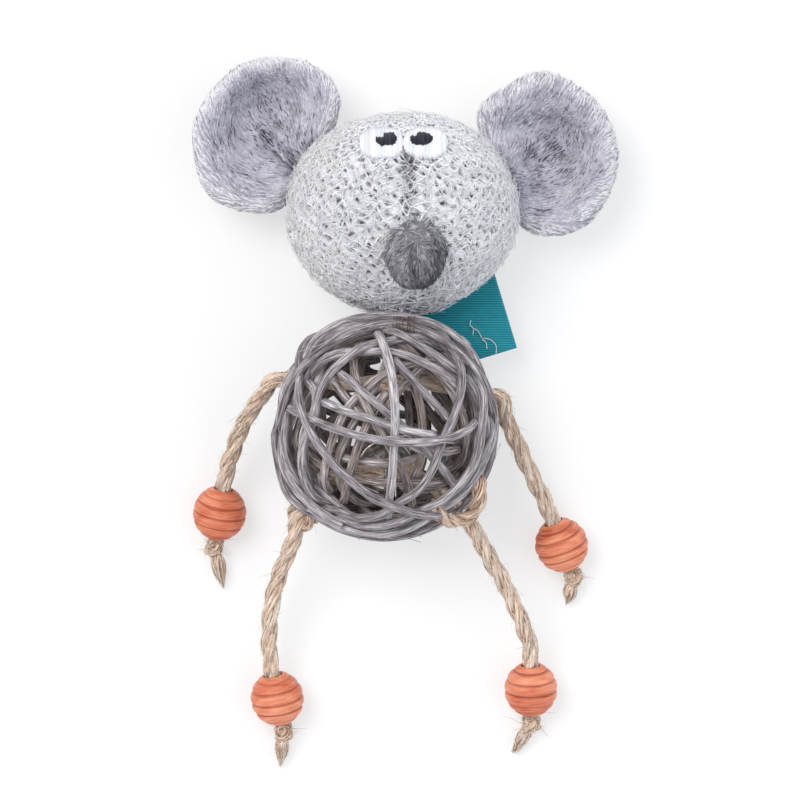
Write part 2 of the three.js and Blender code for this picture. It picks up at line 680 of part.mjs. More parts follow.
// The way from the head's middle down its neck, and a round cutter along it.
const chinWay = neckWay.clone().negate();
const neckCutter = (from, to, radius) =>
  solidOf(rod(chinWay.clone().setLength(from), chinWay.clone().setLength(to), radius, 12));
const neckStart = headAway - (BALL_RADIUS + NECK_GAP + TIE_STEM_REACH + TOUCH_GAP);
const neckOut = HEAD_LENGTH / 2 + NECK_GAP;
const skin = headSolid(0)
  .subtract(headSolid(-SKIN_THICKNESS))
  .subtract(neckCutter(neckStart, neckOut, NECK_HOLE_RADIUS))
  .subtract(headFloor);
addPiece(head, "head_knit_cover", geometryOf(skin), MATERIALS.knit);

const pouchForm = (offset) => {
  const form = new THREE.SphereGeometry(1, 12, 8);
  form.scale(POUCH_RADIUS + offset, POUCH_LENGTH / 2 + offset, POUCH_RADIUS + offset);
  return form;
};
const fillingSlot = new THREE.CylinderGeometry(
  FILLING_SLOT_RADIUS, FILLING_SLOT_RADIUS, HEAD_LENGTH / 2 + OVERRUN, 8,
);
fillingSlot.translate(0, (HEAD_LENGTH / 2 + OVERRUN) / 2, 0);
const filling = headSolid(-SKIN_THICKNESS - TOUCH_GAP)
  .subtract(solidOf(pouchForm(TOUCH_GAP)))
  .subtract(solidOf(fillingSlot))
  .subtract(neckCutter(neckStart, neckOut, NECK_HOLE_RADIUS));
addPiece(head, "head_filling", geometryOf(filling), MATERIALS.filling);
addPiece(head, "catnip_pouch", pouchForm(0), MATERIALS.catnip);

// Nose, a stuffed plush dome
{
  const noseX = NOSE_RIGHT;
  const noseY = -NOSE_DOWN;
  const level = 1 - (noseX / (HEAD_WIDTH / 2)) ** 2 - (noseY / (HEAD_LENGTH / 2)) ** 2;
  const noseZ = Math.sqrt(level) * (HEAD_DEPTH / 2);
  const lean = NOSE_LEAN_DEG * DEGREE;
  const noseWay = new THREE.Vector3(0, -Math.sin(lean), Math.cos(lean));
  const dome = (inset) => {
    const steps = 7;
    const profile = [new THREE.Vector2(0, -NOSE_SUNK)];
    for (let i = 0; i <= steps; i += 1) {
      const turn = (i / steps) * (Math.PI / 2);
      const radius = i === steps ? 0 : Math.cos(turn) ** 0.8 * (NOSE_RADIUS - inset);
      const height = Math.sin(turn) * (NOSE_LENGTH - inset) + (i ? 0 : -NOSE_SUNK);
      profile.push(new THREE.Vector2(radius, height));
    }
    const lathe = new THREE.LatheGeometry(profile, 16);
    lathe.applyQuaternion(aimY(noseWay));
    lathe.translate(noseX, noseY, noseZ - NOSE_SUNK);
    return solidOf(lathe);
  };
  const face = headSolid(TOUCH_GAP);
  const cover = dome(0).subtract(dome(NOSE_COVER)).subtract(face);
  addPiece(head, "nose_cover", geometryOf(cover), MATERIALS.nosePlush);
  const core = dome(NOSE_COVER + TOUCH_GAP).subtract(face);
  addPiece(head, "nose_filling", geometryOf(core), MATERIALS.filling);
}

// Embroidered eyes, which follow the head's surface
const patch = (x, y, width, height, from, thickness) => {
  const stamp = new THREE.CylinderGeometry(1, 1, HEAD_DEPTH, 16);
  stamp.rotateX(Math.PI / 2);
  stamp.scale(width / 2, height / 2, 1);
  stamp.translate(x, y, HEAD_DEPTH / 2);
  return headSolid(from + thickness).subtract(headSolid(from)).intersect(solidOf(stamp));
};
for (const { side, right, width, pupilRight, pupilWidth } of EYES) {
  const white = patch(right, EYE_UP, width, EYE_HEIGHT, TOUCH_GAP, EYE_THICKNESS);
  addPiece(head, side + "_eye_white", geometryOf(white), MATERIALS.eyeWhite);
  const pupil = patch(
    right + pupilRight, EYE_UP + PUPIL_UP, pupilWidth, PUPIL_HEIGHT,
    2 * TOUCH_GAP + EYE_THICKNESS, PUPIL_THICKNESS,
  );
  addPiece(head, side + "_pupil", geometryOf(pupil), MATERIALS.pupil);
}

// What a piece that swings about its own Y axis may not meet, taken out of it at each angle.
function clearOf(solid, obstacle, frame, angles) {
  const inverse = frame.clone().invert();
  return angles.reduce((left, degrees) => {
    const swung = new THREE.Matrix4().makeRotationY(degrees * DEGREE).multiply(inverse);
    return left.subtract(moved(obstacle, swung));
  }, solid);
}

// Ears, two plush panels sewn at the rim over a little stuffing. An ear lies in its own XY
// plane, runs out along +X from its root and is hollow on the +Z side.
const EAR_RING_SHARES = [0, 0.35, 0.62, 0.82, 0.94, 1];
const EAR_PUFF_SHARES = [0.3, 0.62, 0.95, 1, 0.6, 0];
const EAR_DISH_SHARES = [1, 0.72, 0.28, 0, 0, 0];
const EAR_PINCH_SHARE = 0.55; // of the puff is lost at the root
const EAR_CORNER_POWER = 6; // how sharply the round rim turns into the straight root

// A closed solid over an ear's outline, from one height to another at each ring and angle.
function earLayer({ radius, reach }, rings, top, bottom) {
  const corners = [];
  const rimOf = (turn) => {
    const toRoot = Math.max(-Math.cos(turn), ON_AXIS_SHARE);
    const straight = reach / toRoot;
    return (radius ** -EAR_CORNER_POWER + straight ** -EAR_CORNER_POWER) ** (-1 / EAR_CORNER_POWER);
  };
  for (const heightOf of [top, bottom]) {
    corners.push(reach, 0, heightOf(0, 0));
    for (let ring = 1; ring < rings; ring += 1) {
      for (let i = 0; i < EAR_SEGMENTS; i += 1) {
        const turn = (i / EAR_SEGMENTS) * 2 * Math.PI;
        const away = rimOf(turn) * EAR_RING_SHARES[ring];
        corners.push(
          reach + Math.cos(turn) * away, Math.sin(turn) * away, heightOf(ring, turn),
        );
      }
    }
  }
  const perSide = 1 + (rings - 1) * EAR_SEGMENTS;
  const at = (side, ring, i) =>
    side * perSide + (ring ? 1 + (ring - 1) * EAR_SEGMENTS + (i % EAR_SEGMENTS) : 0);
  const faces = [];
  for (let i = 0; i < EAR_SEGMENTS; i += 1) {
    faces.push(at(0, 0, 0), at(0, 1, i), at(0, 1, i + 1));
    faces.push(at(1, 0, 0), at(1, 1, i + 1), at(1, 1, i));
    for (let ring = 1; ring + 1 < rings; ring += 1) {
      faces.push(at(0, ring, i), at(0, ring + 1, i), at(0, ring + 1, i + 1));
      faces.push(at(0, ring, i), at(0, ring + 1, i + 1), at(0, ring, i + 1));
      faces.push(at(1, ring, i), at(1, ring + 1, i + 1), at(1, ring + 1, i));
      faces.push(at(1, ring, i), at(1, ring, i + 1), at(1, ring + 1, i + 1));
    }
    const rim = rings - 1;
    faces.push(at(0, rim, i), at(1, rim, i), at(1, rim, i + 1));
    faces.push(at(0, rim, i), at(1, rim, i + 1), at(0, rim, i + 1));
  }
  const geometry = new THREE.BufferGeometry();
  geometry.setAttribute("position", new THREE.Float32BufferAttribute(corners, 3));
  geometry.setIndex(faces);
  return geometry;
}

const earRootRise = floorHeight + EAR_ROOT_HEIGHT - headPlace.z;
for (const ear of EARS) {
  const out = new THREE.Vector3(
    Math.cos(ear.heading * DEGREE), Math.sin(ear.heading * DEGREE), 0,
  );
  const level = Math.sqrt(1 - (earRootRise / (HEAD_DEPTH / 2)) ** 2);
  const toSkin = level / Math.hypot(out.x / (HEAD_WIDTH / 2), out.y / (HEAD_LENGTH / 2));
  const group = new THREE.Group();
  group.position.copy(out).multiplyScalar(toSkin + TOUCH_GAP - EAR_SUNK);
  group.position.z = earRootRise;
  group.rotation.set(0, -EAR_TILT_DEG * DEGREE, ear.heading * DEGREE, "ZYX");
  head.add(group);
  group.updateMatrix();
  const pinch = (turn) => 1 - EAR_PINCH_SHARE * Math.max(0, -Math.cos(turn)) ** 3;
  const half = (ring, turn) => (EAR_RIM + EAR_PUFF * EAR_PUFF_SHARES[ring] * pinch(turn)) / 2;
  const middle = (ring) => -EAR_DISH * EAR_DISH_SHARES[ring];
  const angles = [0, EAR_FOLD_DEG / 2, EAR_FOLD_DEG, -EAR_DROOP_DEG];
  const clear = (geometry) =>
    clearOf(solidOf(geometry), headSolid(TOUCH_GAP), group.matrix, angles);
  const rings = EAR_RING_SHARES.length;
  const front = earLayer(
    ear, rings,
    (ring, turn) => middle(ring) + half(ring, turn),
    (ring, turn) => middle(ring) + half(ring, turn) - EAR_PANEL,
  );
  addPiece(group, ear.side + "_ear_front_panel", geometryOf(clear(front)), MATERIALS.plush);
  const back = earLayer(
    ear, rings,
    (ring, turn) => middle(ring) - half(ring, turn) + EAR_PANEL,
    (ring, turn) => middle(ring) - half(ring, turn),
  );
  addPiece(group, ear.side + "_ear_back_panel", geometryOf(clear(back)), MATERIALS.plush);
  const room = EAR_PANEL + TOUCH_GAP;
  const wadding = earLayer(
    ear, rings - 1,
    (ring, turn) => middle(ring) + half(ring, turn) - room,
    (ring, turn) => middle(ring) - half(ring, turn) + room,
  );
  addPiece(group, ear.side + "_ear_filling", geometryOf(clear(wadding)), MATERIALS.filling);
}

// Woven ribbon label, folded in two, its sewn end under the chin
{
  const group = new THREE.Group();
  group.position.set(LABEL_RIGHT, -LABEL_DOWN, floorHeight + LABEL_HEIGHT - headPlace.z);
  group.rotation.set(0, 0, LABEL_HEADING_DEG * DEGREE);
  head.add(group);
  group.updateMatrix();
  const t = LABEL_THICKNESS;
  const g = LABEL_FOLD_GAP;
  const bend = t + g / 2;
  const outline = new THREE.Shape();
  outline.moveTo(0, 0);
  outline.lineTo(LABEL_LENGTH - bend, 0);
  outline.absarc(LABEL_LENGTH - bend, bend, bend, -Math.PI / 2, Math.PI / 2, false);
  outline.lineTo(0, 2 * bend);
  outline.lineTo(0, 2 * bend - t);
  outline.lineTo(LABEL_LENGTH - bend, 2 * bend - t);
  outline.absarc(LABEL_LENGTH - bend, bend, g / 2, Math.PI / 2, -Math.PI / 2, true);
  outline.lineTo(0, t);
  outline.closePath();
  const ribbon = new THREE.ExtrudeGeometry(outline, {
    depth: LABEL_WIDTH, bevelEnabled: false, curveSegments: 4,
  });
  ribbon.rotateX(Math.PI / 2);
  ribbon.translate(0, LABEL_WIDTH / 2, 0);
  const ball = new THREE.SphereGeometry(BALL_RADIUS + NECK_GAP, 24, 16);
  ball.translate(-headPlace.x, -headPlace.y, -headPlace.z);
  const flaps = [0, LABEL_FLAP_DEG / 2, LABEL_FLAP_DEG];
  let made = clearOf(solidOf(ribbon), headSolid(TOUCH_GAP), group.matrix, flaps);
  made = clearOf(made, solidOf(ball), group.matrix, flaps);
  addPiece(group, "woven_label", geometryOf(made), MATERIALS.label);
}

// The origin stands under the middle of everything but the ropes and what is knotted in them.
const isRope = (name) => /_rope$|_knot$|_frayed_end$/.test(name) && !name.includes("hip");
mouse.updateMatrixWorld(true);
const reach = new THREE.Box3();
mouse.traverse((piece) => {
  if (piece.isMesh && !isRope(piece.name)) reach.expandByObject(piece, true);
});
mouse.position.set(-(reach.min.x + reach.max.x) / 2, -(reach.min.y + reach.max.y) / 2, -floorHeight);

export default mouse;
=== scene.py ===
"""A catnip toy mouse on its back: a rattan ball for a body, a knitted head, plush ears and nose,
jute limbs with wooden beads, a folded ribbon label and a jingle bell.

Lengths are in millimetres from the middle of the ball, with +Z out of the mouse's front and +Y
from the ball to the head, until placed() turns them into metres in the frame of the CAD model.
Left and right are the sides that someone sees who looks at the mouse's face.
"""
import json
import math

import bmesh
import bpy
import numpy as np
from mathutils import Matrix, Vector


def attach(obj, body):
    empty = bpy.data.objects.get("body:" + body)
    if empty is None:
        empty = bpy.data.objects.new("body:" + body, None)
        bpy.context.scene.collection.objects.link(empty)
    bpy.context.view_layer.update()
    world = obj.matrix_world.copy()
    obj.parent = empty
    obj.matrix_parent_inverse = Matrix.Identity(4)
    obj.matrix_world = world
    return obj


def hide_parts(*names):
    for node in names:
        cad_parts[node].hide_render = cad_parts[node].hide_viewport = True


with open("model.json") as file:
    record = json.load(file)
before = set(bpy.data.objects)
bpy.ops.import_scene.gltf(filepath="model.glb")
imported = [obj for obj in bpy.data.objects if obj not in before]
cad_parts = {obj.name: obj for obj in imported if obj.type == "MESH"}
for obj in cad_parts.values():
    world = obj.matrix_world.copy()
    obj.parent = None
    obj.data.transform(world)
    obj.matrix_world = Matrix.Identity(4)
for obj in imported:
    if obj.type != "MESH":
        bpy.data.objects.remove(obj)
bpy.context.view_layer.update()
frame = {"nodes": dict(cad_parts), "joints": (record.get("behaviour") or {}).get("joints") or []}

bl_info = {
    "name": "Catnip Mouse",
    "version": (1, 0, 0),
    "blender": (4, 5, 0),
    "location": "View3D > Sidebar > Mouse",
    "description": "Dresses the catnip mouse's frame in rattan, jute, knit, plush and wood",
    "category": "Object",
}

MM = 0.001
TAU = 2 * math.pi
JOINTS = {joint["name"]: joint for joint in frame["joints"]}

# The point of the leg rope that the bell hangs from; the bell's hinge stands there.
BELL_HANG = (0.3, -11.3, 9.3)
BALL = np.array(JOINTS["bell_swing"]["pos_m"]) / MM - BELL_HANG
FLOOR = -BALL[2]

# How the photograph is framed: its scale on the ball's own level and the ball's place in it.
PIXELS_PER_MM = 3.57
BALL_PIXEL = (385, 428)
PICTURE_MIDDLE = 400
EYE_HEIGHT = 2500


# -------- places and threads

def placed(places):
    """Places in the part's own frame, in metres."""
    return (np.asarray(places, float) + BALL) * MM


def unit(vectors):
    vectors = np.asarray(vectors, float)
    return vectors / np.maximum(np.linalg.norm(vectors, axis=-1, keepdims=True), 1e-9)


def smooth(share):
    share = np.clip(share, 0, 1)
    return share * share * (3 - 2 * share)


def way_at(angle, across, third):
    """The way at each angle from the first of two ways to the second."""
    angle = np.asarray(angle)[..., None]
    return np.cos(angle) * across + np.sin(angle) * third


def above_floor(path, gap):
    """Lifts, in place, what lies lower than a gap over the floor."""
    path[:, 2] = np.maximum(path[:, 2], FLOOR + gap)
    return path


def seen(px, py, height=0):
    """The place at a height that the camera shows at a pixel of the photograph."""
    level = np.array([(px - BALL_PIXEL[0]), (BALL_PIXEL[1] - py)]) / PIXELS_PER_MM
    middle = np.array([PICTURE_MIDDLE - BALL_PIXEL[0], BALL_PIXEL[1] - PICTURE_MIDDLE])
    middle = middle / PIXELS_PER_MM
    spot = middle + (level - middle) * (EYE_HEIGHT - height) / EYE_HEIGHT
    return np.array([spot[0], spot[1], height])


def on_ball(px, py, radius):
    """The near place on a sphere round the ball's middle that the camera shows at a pixel."""
    x, y, _ = seen(px, py)
    away = math.hypot(x, y)
    if away >= radius:
        return np.array([x, y, 0])
    return np.array([x, y, math.sqrt(radius ** 2 - away ** 2)])


def waves(places, length, seed, count=7):
    """A smooth random value from about -1 to 1 at each place, for waves of about that length."""
    rng = np.random.default_rng(seed)
    ways = unit(rng.normal(size=(count, 3))) * TAU / length * rng.uniform(0.6, 1.5, (count, 1))
    return np.sin(np.asarray(places) @ ways.T + rng.uniform(0, TAU, count)).sum(1) / count * 1.9


def drifting(places, length, seed):
    """A slow random vector for each place."""
    return np.stack([waves(places, length, seed + axis) for axis in range(3)], axis=1)


def run_along(path):
    """How far along a path each of its places is."""
    return np.concatenate([[0], np.cumsum(np.linalg.norm(np.diff(path, axis=0), axis=1))])


def resampled(path, step):
    """The same path at even steps of about this length."""
    path = np.asarray(path, float)
    along = run_along(path)
    count = max(2, int(round(along[-1] / step)) + 1)
    at = np.linspace(0, along[-1], count)
    return np.stack([np.interp(at, along, path[:, axis]) for axis in range(3)], axis=1)


def routed(points, step):
    """A centripetal Catmull-Rom curve through the points, as the CAD ropes follow."""
    points = np.asarray(points, float)
    points = np.vstack([2 * points[0] - points[1], points, 2 * points[-1] - points[-2]])
    path = [points[1:2]]
    t = np.linspace(0, 1, 25)[1:, None]
    for p0, p1, p2, p3 in zip(points, points[1:], points[2:], points[3:]):
        a, b, c = (math.sqrt(np.linalg.norm(q - p)) for p, q in ((p0, p1), (p1, p2), (p2, p3)))
        leave = ((p1 - p0) / a - (p2 - p0) / (a + b) + (p2 - p1) / b) * b
        arrive = ((p2 - p1) / b - (p3 - p1) / (b + c) + (p3 - p2) / c) * b
        path.append(
            (2 * t ** 3 - 3 * t ** 2 + 1) * p1 + (t ** 3 - 2 * t ** 2 + t) * leave
            + (3 * t ** 2 - 2 * t ** 3) * p2 + (t ** 3 - t ** 2) * arrive
        )
    return resampled(np.vstack(path), step)


def ways_of(path):
    """The way along a path at each place, and two ways across it that turn as little as may
    be."""
    along = unit(np.gradient(np.asarray(path, float), axis=0))
    across = np.empty_like(along)
    spare = np.eye(3)[np.argmin(np.abs(along[0]))]
    across[0] = unit(np.cross(along[0], spare))
    for i in range(1, len(along)):
        across[i] = unit(across[i - 1] - along[i] * (across[i - 1] @ along[i]))
    return along, across, np.cross(along, across)


def length_of(path):
    return float(np.linalg.norm(np.diff(path, axis=0), axis=1).sum())


def twisted(path, count, radius, pitch, start=0.0):
    """The paths of the plies that twist round a path."""
    _, across, third = ways_of(path)
    turn = start + TAU * run_along(path) / pitch
    return [path + radius * way_at(turn + TAU * ply / count, across, third)
            for ply in range(count)]


RIDGE_RUN = 9.0  # millimetres along a thread before its ridges differ
# Furrows are painted darker and ridges paler by this share: painted shade in the furrows and a
# painted highlight on the ridges, over the thread's streaked grain.
RIDGE_LIGHT_AND_SHADE = 0.16
GRAIN_SHIFT = 900  # how far apart the grain of one thread and another may lie


def ridge_pattern(path, sides, rng):
    """Ridges and furrows, from 1 to -1, that run along a thread and fade into each other."""
    knots = int(length_of(path) / RIDGE_RUN) + 3
    drawn = rng.normal(0, 0.75, (knots, sides))
    at = np.linspace(0, knots - 1, len(path))
    return np.clip(np.stack([np.interp(at, range(knots), row) for row in drawn.T], axis=1), -1, 1)


def values_of(mesh, name):
    """What each vertex holds under a name: a value or a vector."""
    own = mesh.attributes[name]
    key, width = ("vector", 3) if own.data_type == "FLOAT_VECTOR" else ("value", 1)
    values = np.empty((len(mesh.vertices), width))
    own.data.foreach_get(key, values.ravel())
    return values if width == 3 else values[:, 0]


def set_values(mesh, name, values):
    """Gives each vertex a value or a vector under a name that the materials read."""
    kind, key = ("FLOAT_VECTOR", "vector") if np.ndim(values) == 2 else ("FLOAT", "value")
    own = mesh.attributes.get(name) or mesh.attributes.new(name, kind, "POINT")
    own.data.foreach_set(key, np.ravel(values))


def with_caps(rows, sides):
    """Values for the vertices of capped tubes, from each tube's own. The caps come first, those
    of the last tube before the others."""
    caps = [np.concatenate([row[-sides:], row[:sides]]) for row in rows]
    return np.concatenate(caps[::-1] + rows)


def threads(name, paths, radius, sides=6, radii=None, tints=None, seed=1, ridges=0.0):
    """One mesh of round threads. Each vertex keeps its thread's tint and its place in the grain,
    round the thread and along it in millimetres. Ridges are a share of the radius."""
    curve = bpy.data.curves.new(name, "CURVE")
    curve.dimensions = "3D"
    curve.bevel_depth = radius * MM
    curve.bevel_resolution = sides // 2 - 2
    curve.use_fill_caps = True
    for i, path in enumerate(paths):
        spline = curve.splines.new("POLY")
        spline.points.add(len(path) - 1)
        spots = np.ones((len(path), 4))
        spots[:, :3] = placed(path)
        spline.points.foreach_set("co", spots.ravel())
        if radii is not None:
            own = np.broadcast_to(radii[i], len(path)).astype(float)
            spline.points.foreach_set("radius", own)
    holder = linked(name, curve)
    graph = bpy.context.evaluated_depsgraph_get()
    mesh = bpy.data.meshes.new_from_object(holder.evaluated_get(graph))
    bpy.data.objects.remove(holder)
    bpy.data.curves.remove(curve)

    if len(mesh.vertices) != sides * sum(len(path) + 2 for path in paths):
        raise RuntimeError(f"{name}: Blender made {len(mesh.vertices)} thread vertices")
    rng = np.random.default_rng(seed)
    if tints is None:
        tints = rng.uniform(0, 1, len(paths))
    angle = TAU * np.arange(sides) / sides
    ring = np.stack([np.cos(angle), np.sin(angle)], axis=1) * radius
    grain, shades, ridge, middle = [], [], [], []
    for path, tint in zip(paths, tints):
        if ridges:
            ridge.append(ridge_pattern(path, sides, rng).ravel())
            middle.append(np.repeat(placed(path), sides, axis=0))
        along = run_along(path) + rng.uniform(0, GRAIN_SHIFT)
        grain.append(np.column_stack([np.tile(ring, (len(path), 1)), np.repeat(along, sides)]))
        shades.append(np.full(len(path) * sides, tint))
    shades = with_caps(shades, sides)
    if ridges:
        ridge, middle = with_caps(ridge, sides), with_caps(middle, sides)
        swell = 1 + ridges * ridge[:, None]
        spots = middle + (values_of(mesh, "position") - middle) * swell
        mesh.vertices.foreach_set("co", spots.ravel())
        # Painted shade in the furrows and a painted highlight on the ridges, following the relief.
        shades = shades + RIDGE_LIGHT_AND_SHADE * ridge
    set_values(mesh, "grain", with_caps(grain, sides))
    set_values(mesh, "tint", shades)
    form = bmesh.new()
    form.from_mesh(mesh)
    bmesh.ops.remove_doubles(form, verts=form.verts, dist=1e-7)
    form.to_mesh(mesh)
    form.free()
    return mesh


def hairs(roots, ways, normals, length, lift, curl, points, seed):
    """Paths of short hairs that leave a surface at their roots and lie over along their ways."""
    rng = np.random.default_rng(seed)
    count = len(roots)
    length = np.broadcast_to(length, count) * rng.uniform(0.7, 1.25, count)
    share = np.linspace(0, 1, points)
    rise = np.sin(share * math.pi / 2) * lift
    side = np.cross(normals, ways)
    sway = rng.normal(0, curl, count)
    paths = []
    for i in range(count):
        bend = np.sin(share * math.pi) * sway[i] * 0.5 + share ** 2 * sway[i]
        paths.append(
            roots[i]
            + length[i] * (share[:, None] * ways[i] + rise[:, None] * normals[i]
                           + bend[:, None] * side[i])
        )
    return paths


HAIRS_IN_TUFT = 10
TUFT_STRETCH = 3.0  # a tuft's length over its width


def tufts(root, way, aside, rng):
    """Groups hairs into narrow tufts. Gives how far each hair is beside the middle line of
    its tuft, and a value from -1 to 1 for the tuft."""
    middles = root[rng.choice(len(root), len(root) // HAIRS_IN_TUFT, replace=False)]
    tones = rng.uniform(-1, 1, len(middles))
    offset, tone = np.empty(len(root)), np.empty(len(root))
    for first in range(0, len(root), 500):
        part = slice(first, first + 500)
        apart = root[part, None] - middles
        beside = (apart * aside[part, None]).sum(2)
        ahead = (apart * way[part, None]).sum(2)
        nearest = (beside ** 2 + (ahead / TUFT_STRETCH) ** 2).argmin(1)
        rows = np.arange(len(nearest))
        offset[part], tone[part] = beside[rows, nearest], tones[nearest]
    return offset, tone


def pile(root, away, out, sunk, length, lift, curl, pulls, seed, rng):
    """Hairs that lie over a surface with normals out, as much away as it lets them, and draw
    together in tufts by the pulls at their points. Gives their paths, how far beside the middle
    line of its tuft each is, and its tuft's value."""
    way = unit(away - out * (away * out).sum(1, keepdims=True))
    aside = np.cross(out, way)
    offset, tone = tufts(root, way, aside, rng)
    paths = hairs(root - sunk * out, way, out, length, lift, curl, len(pulls), seed)
    for path, shift, beside in zip(paths, offset, aside):
        path -= np.array(pulls)[:, None] * shift * beside
        above_floor(path, 0.15)
    return paths, offset, tone


# -------- meshes and pieces

def linked(name, data):
    """A new object in the scene."""
    thing = bpy.data.objects.new(name, data)
    bpy.context.scene.collection.objects.link(thing)
    return thing


def mesh_of(form, name):
    mesh = bpy.data.meshes.new(name)
    form.to_mesh(mesh)
    form.free()
    return mesh


def round_form(name, turns, rings, shape):
    """A closed form from a sphere. shape() gives the place for each turn round the pole and
    each tilt from it, from 0 to pi."""
    form = bmesh.new()
    bmesh.ops.create_uvsphere(form, u_segments=turns, v_segments=rings, radius=1)
    spots = np.array([vertex.co for vertex in form.verts])
    turn = np.arctan2(spots[:, 1], spots[:, 0])
    tilt = np.arccos(np.clip(spots[:, 2], -1, 1))
    for vertex, place in zip(form.verts, placed(shape(turn, tilt))):
        vertex.co = place
    bmesh.ops.recalc_face_normals(form, faces=form.faces)
    return mesh_of(form, name)


def two_walls(tilt):
    """For a cover made from a sphere: which places are its outside, and how far each is from
    its middle, 0, to its rim, 1."""
    outside = tilt <= math.pi / 2
    return outside, np.where(outside, tilt, math.pi - tilt) / (math.pi / 2)


def add_piece(name, mesh, body, material, replaces=()):
    """Puts a finished mesh in the scene, on its CAD body."""
    mesh.polygons.foreach_set("use_smooth", [True] * len(mesh.polygons))
    mesh.materials.clear()
    mesh.materials.append(material)
    piece = linked(name, mesh)
    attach(piece, body)
    if replaces:
        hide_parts(*replaces)
    return piece


def thread_piece(name, paths, radius, sides, radii=None, tints=None, seed=1, *, body,
                 material, replaces=()):
    """A piece made of threads alone."""
    mesh = threads(name, paths, radius, sides, radii, tints, seed)
    return add_piece(name, mesh, body, material, replaces)


# -------- materials

def add_node(tree, kind, inputs=(), **settings):
    """A new node, whose inputs are linked to other nodes' outputs or hold plain values."""
    node = tree.nodes.new(kind)
    for name, value in settings.items():
        setattr(node, name, value)
    for name, value in dict(inputs).items():
        if isinstance(value, bpy.types.NodeSocket):
            tree.links.new(value, node.inputs[name])
        else:
            node.inputs[name].default_value = value
    return node


def attribute(tree, name, output="Fac"):
    return add_node(tree, "ShaderNodeAttribute", attribute_name=name).outputs[output]


def colour_of(colour):
    """A colour as shown on a screen, as the linear colour that a node takes."""
    linear = [c / 12.92 if c <= 0.04045 else ((c + 0.055) / 1.055) ** 2.4 for c in colour[:3]]
    return (*linear, 1)


def shades_from(tree, value, stops):
    """A colour ramp of (position, colour) stops."""
    ramp = add_node(tree, "ShaderNodeValToRGB", {"Fac": value})
    marks = ramp.color_ramp.elements
    while len(marks) < len(stops):
        marks.new(0.5)
    for mark, (position, colour) in zip(marks, stops):
        mark.position = position
        mark.color = colour_of(colour)
    return ramp.outputs["Color"]


def noise(tree, vector, scale, detail=3.0, roughness=0.55):
    found = add_node(
        tree, "ShaderNodeTexNoise",
        {"Vector": vector, "Scale": scale, "Detail": detail, "Roughness": roughness},
    )
    return found.outputs["Fac"]


def calculate(tree, operation, first, second, third=0.0, clamp=False):
    node = add_node(
        tree, "ShaderNodeMath", {0: first, 1: second, 2: third}, operation=operation,
        use_clamp=clamp,
    )
    return node.outputs[0]


def new_material(name, roughness, metallic=0.0, sheen=0.0, specular=0.5):
    material = bpy.data.materials.new(name)
    material.use_nodes = True
    tree = material.node_tree
    shader = tree.nodes["Principled BSDF"]
    for socket, value in (("Roughness", roughness), ("Metallic", metallic),
                          ("Sheen Weight", sheen), ("Specular IOR Level", specular)):
        shader.inputs[socket].default_value = value
    return material, tree, shader


def paint(tree, shader, value, stops):
    """Colours a material by a value, with a ramp of (position, colour) stops."""
    tree.links.new(shades_from(tree, value, stops), shader.inputs["Base Color"])


def bump(tree, shader, height, strength, distance):
    made = add_node(
        tree, "ShaderNodeBump", {"Height": height, "Strength": strength, "Distance": distance * MM}
    )
    tree.links.new(made.outputs["Normal"], shader.inputs["Normal"])


def place_in_mm(tree):
    """Object coordinates in millimetres."""
    place = add_node(tree, "ShaderNodeTexCoord").outputs["Object"]
    return add_node(
        tree, "ShaderNodeVectorMath", {0: place, "Scale": 1 / MM}, operation="SCALE",
    ).outputs["Vector"]


def grain_of(tree, across, along):
    """The thread's own coordinates, stretched along it."""
    place = attribute(tree, "grain", "Vector")
    return add_node(
        tree, "ShaderNodeMapping", {"Vector": place, "Scale": (across, across, along)}
    ).outputs["Vector"]


def fibre_material(name, stops, across, along, roughness, tinted=0.35, patches=0.25,
                   patch_length=6.0, bump_depth=0.15, sheen=0.0, specular=0.3, contrast=1.7):
    """A thread-like surface: fine streaks along the grain, a tint of its own for each thread and
    slow patches over the whole piece."""
    material, tree, shader = new_material(name, roughness, sheen=sheen, specular=specular)
    streaks = noise(tree, grain_of(tree, across, along), 1.0, 4.0, 0.6)
    tint = attribute(tree, "tint")
    slow = noise(tree, place_in_mm(tree), 1 / patch_length, 2.0)
    value = calculate(tree, "MULTIPLY_ADD", streaks, contrast, 0.5 - contrast / 2)
    value = calculate(tree, "MULTIPLY_ADD", value, 1 - tinted - patches, 0.0)
    value = calculate(tree, "MULTIPLY_ADD", tint, tinted, value)
    slow = calculate(tree, "MULTIPLY_ADD", slow, 2.0, -0.5)
    value = calculate(tree, "MULTIPLY_ADD", slow, patches, value, clamp=True)
    paint(tree, shader, value, stops)
    bump(tree, shader, streaks, 0.8, bump_depth)
    return material


# -------- settings

def length_setting(name, default, description):
    return bpy.props.FloatProperty(
        name=name, description=description, default=default * MM, min=0, soft_max=1,
        precision=5, unit="LENGTH", subtype="DISTANCE",
    )


def colour_setting(name, default, description):
    return bpy.props.FloatVectorProperty(
        name=name, description=description, default=default, size=3, min=0, max=1,
        subtype="COLOR_GAMMA",
    )


def count_setting(name, default, description):
    return bpy.props.IntProperty(name=name, description=description, default=default, min=3)


class MouseBallSettings(bpy.types.PropertyGroup):
    """Sizes and colours of the rattan ball"""
    strand: length_setting("Strand", 2.4, "Diameter of a rattan strand")
    dark: colour_setting("Dark grain", (0.33, 0.295, 0.31), "The dark grain of the grey strands")
    grey: colour_setting("Grey", (0.61, 0.585, 0.6), "The strands' main grey")
    pale: colour_setting("Pale streaks", (0.91, 0.89, 0.9), "Where the grey is rubbed pale")
    bare: colour_setting("Bare rattan", (0.6, 0.545, 0.52), "The browner inner strands")


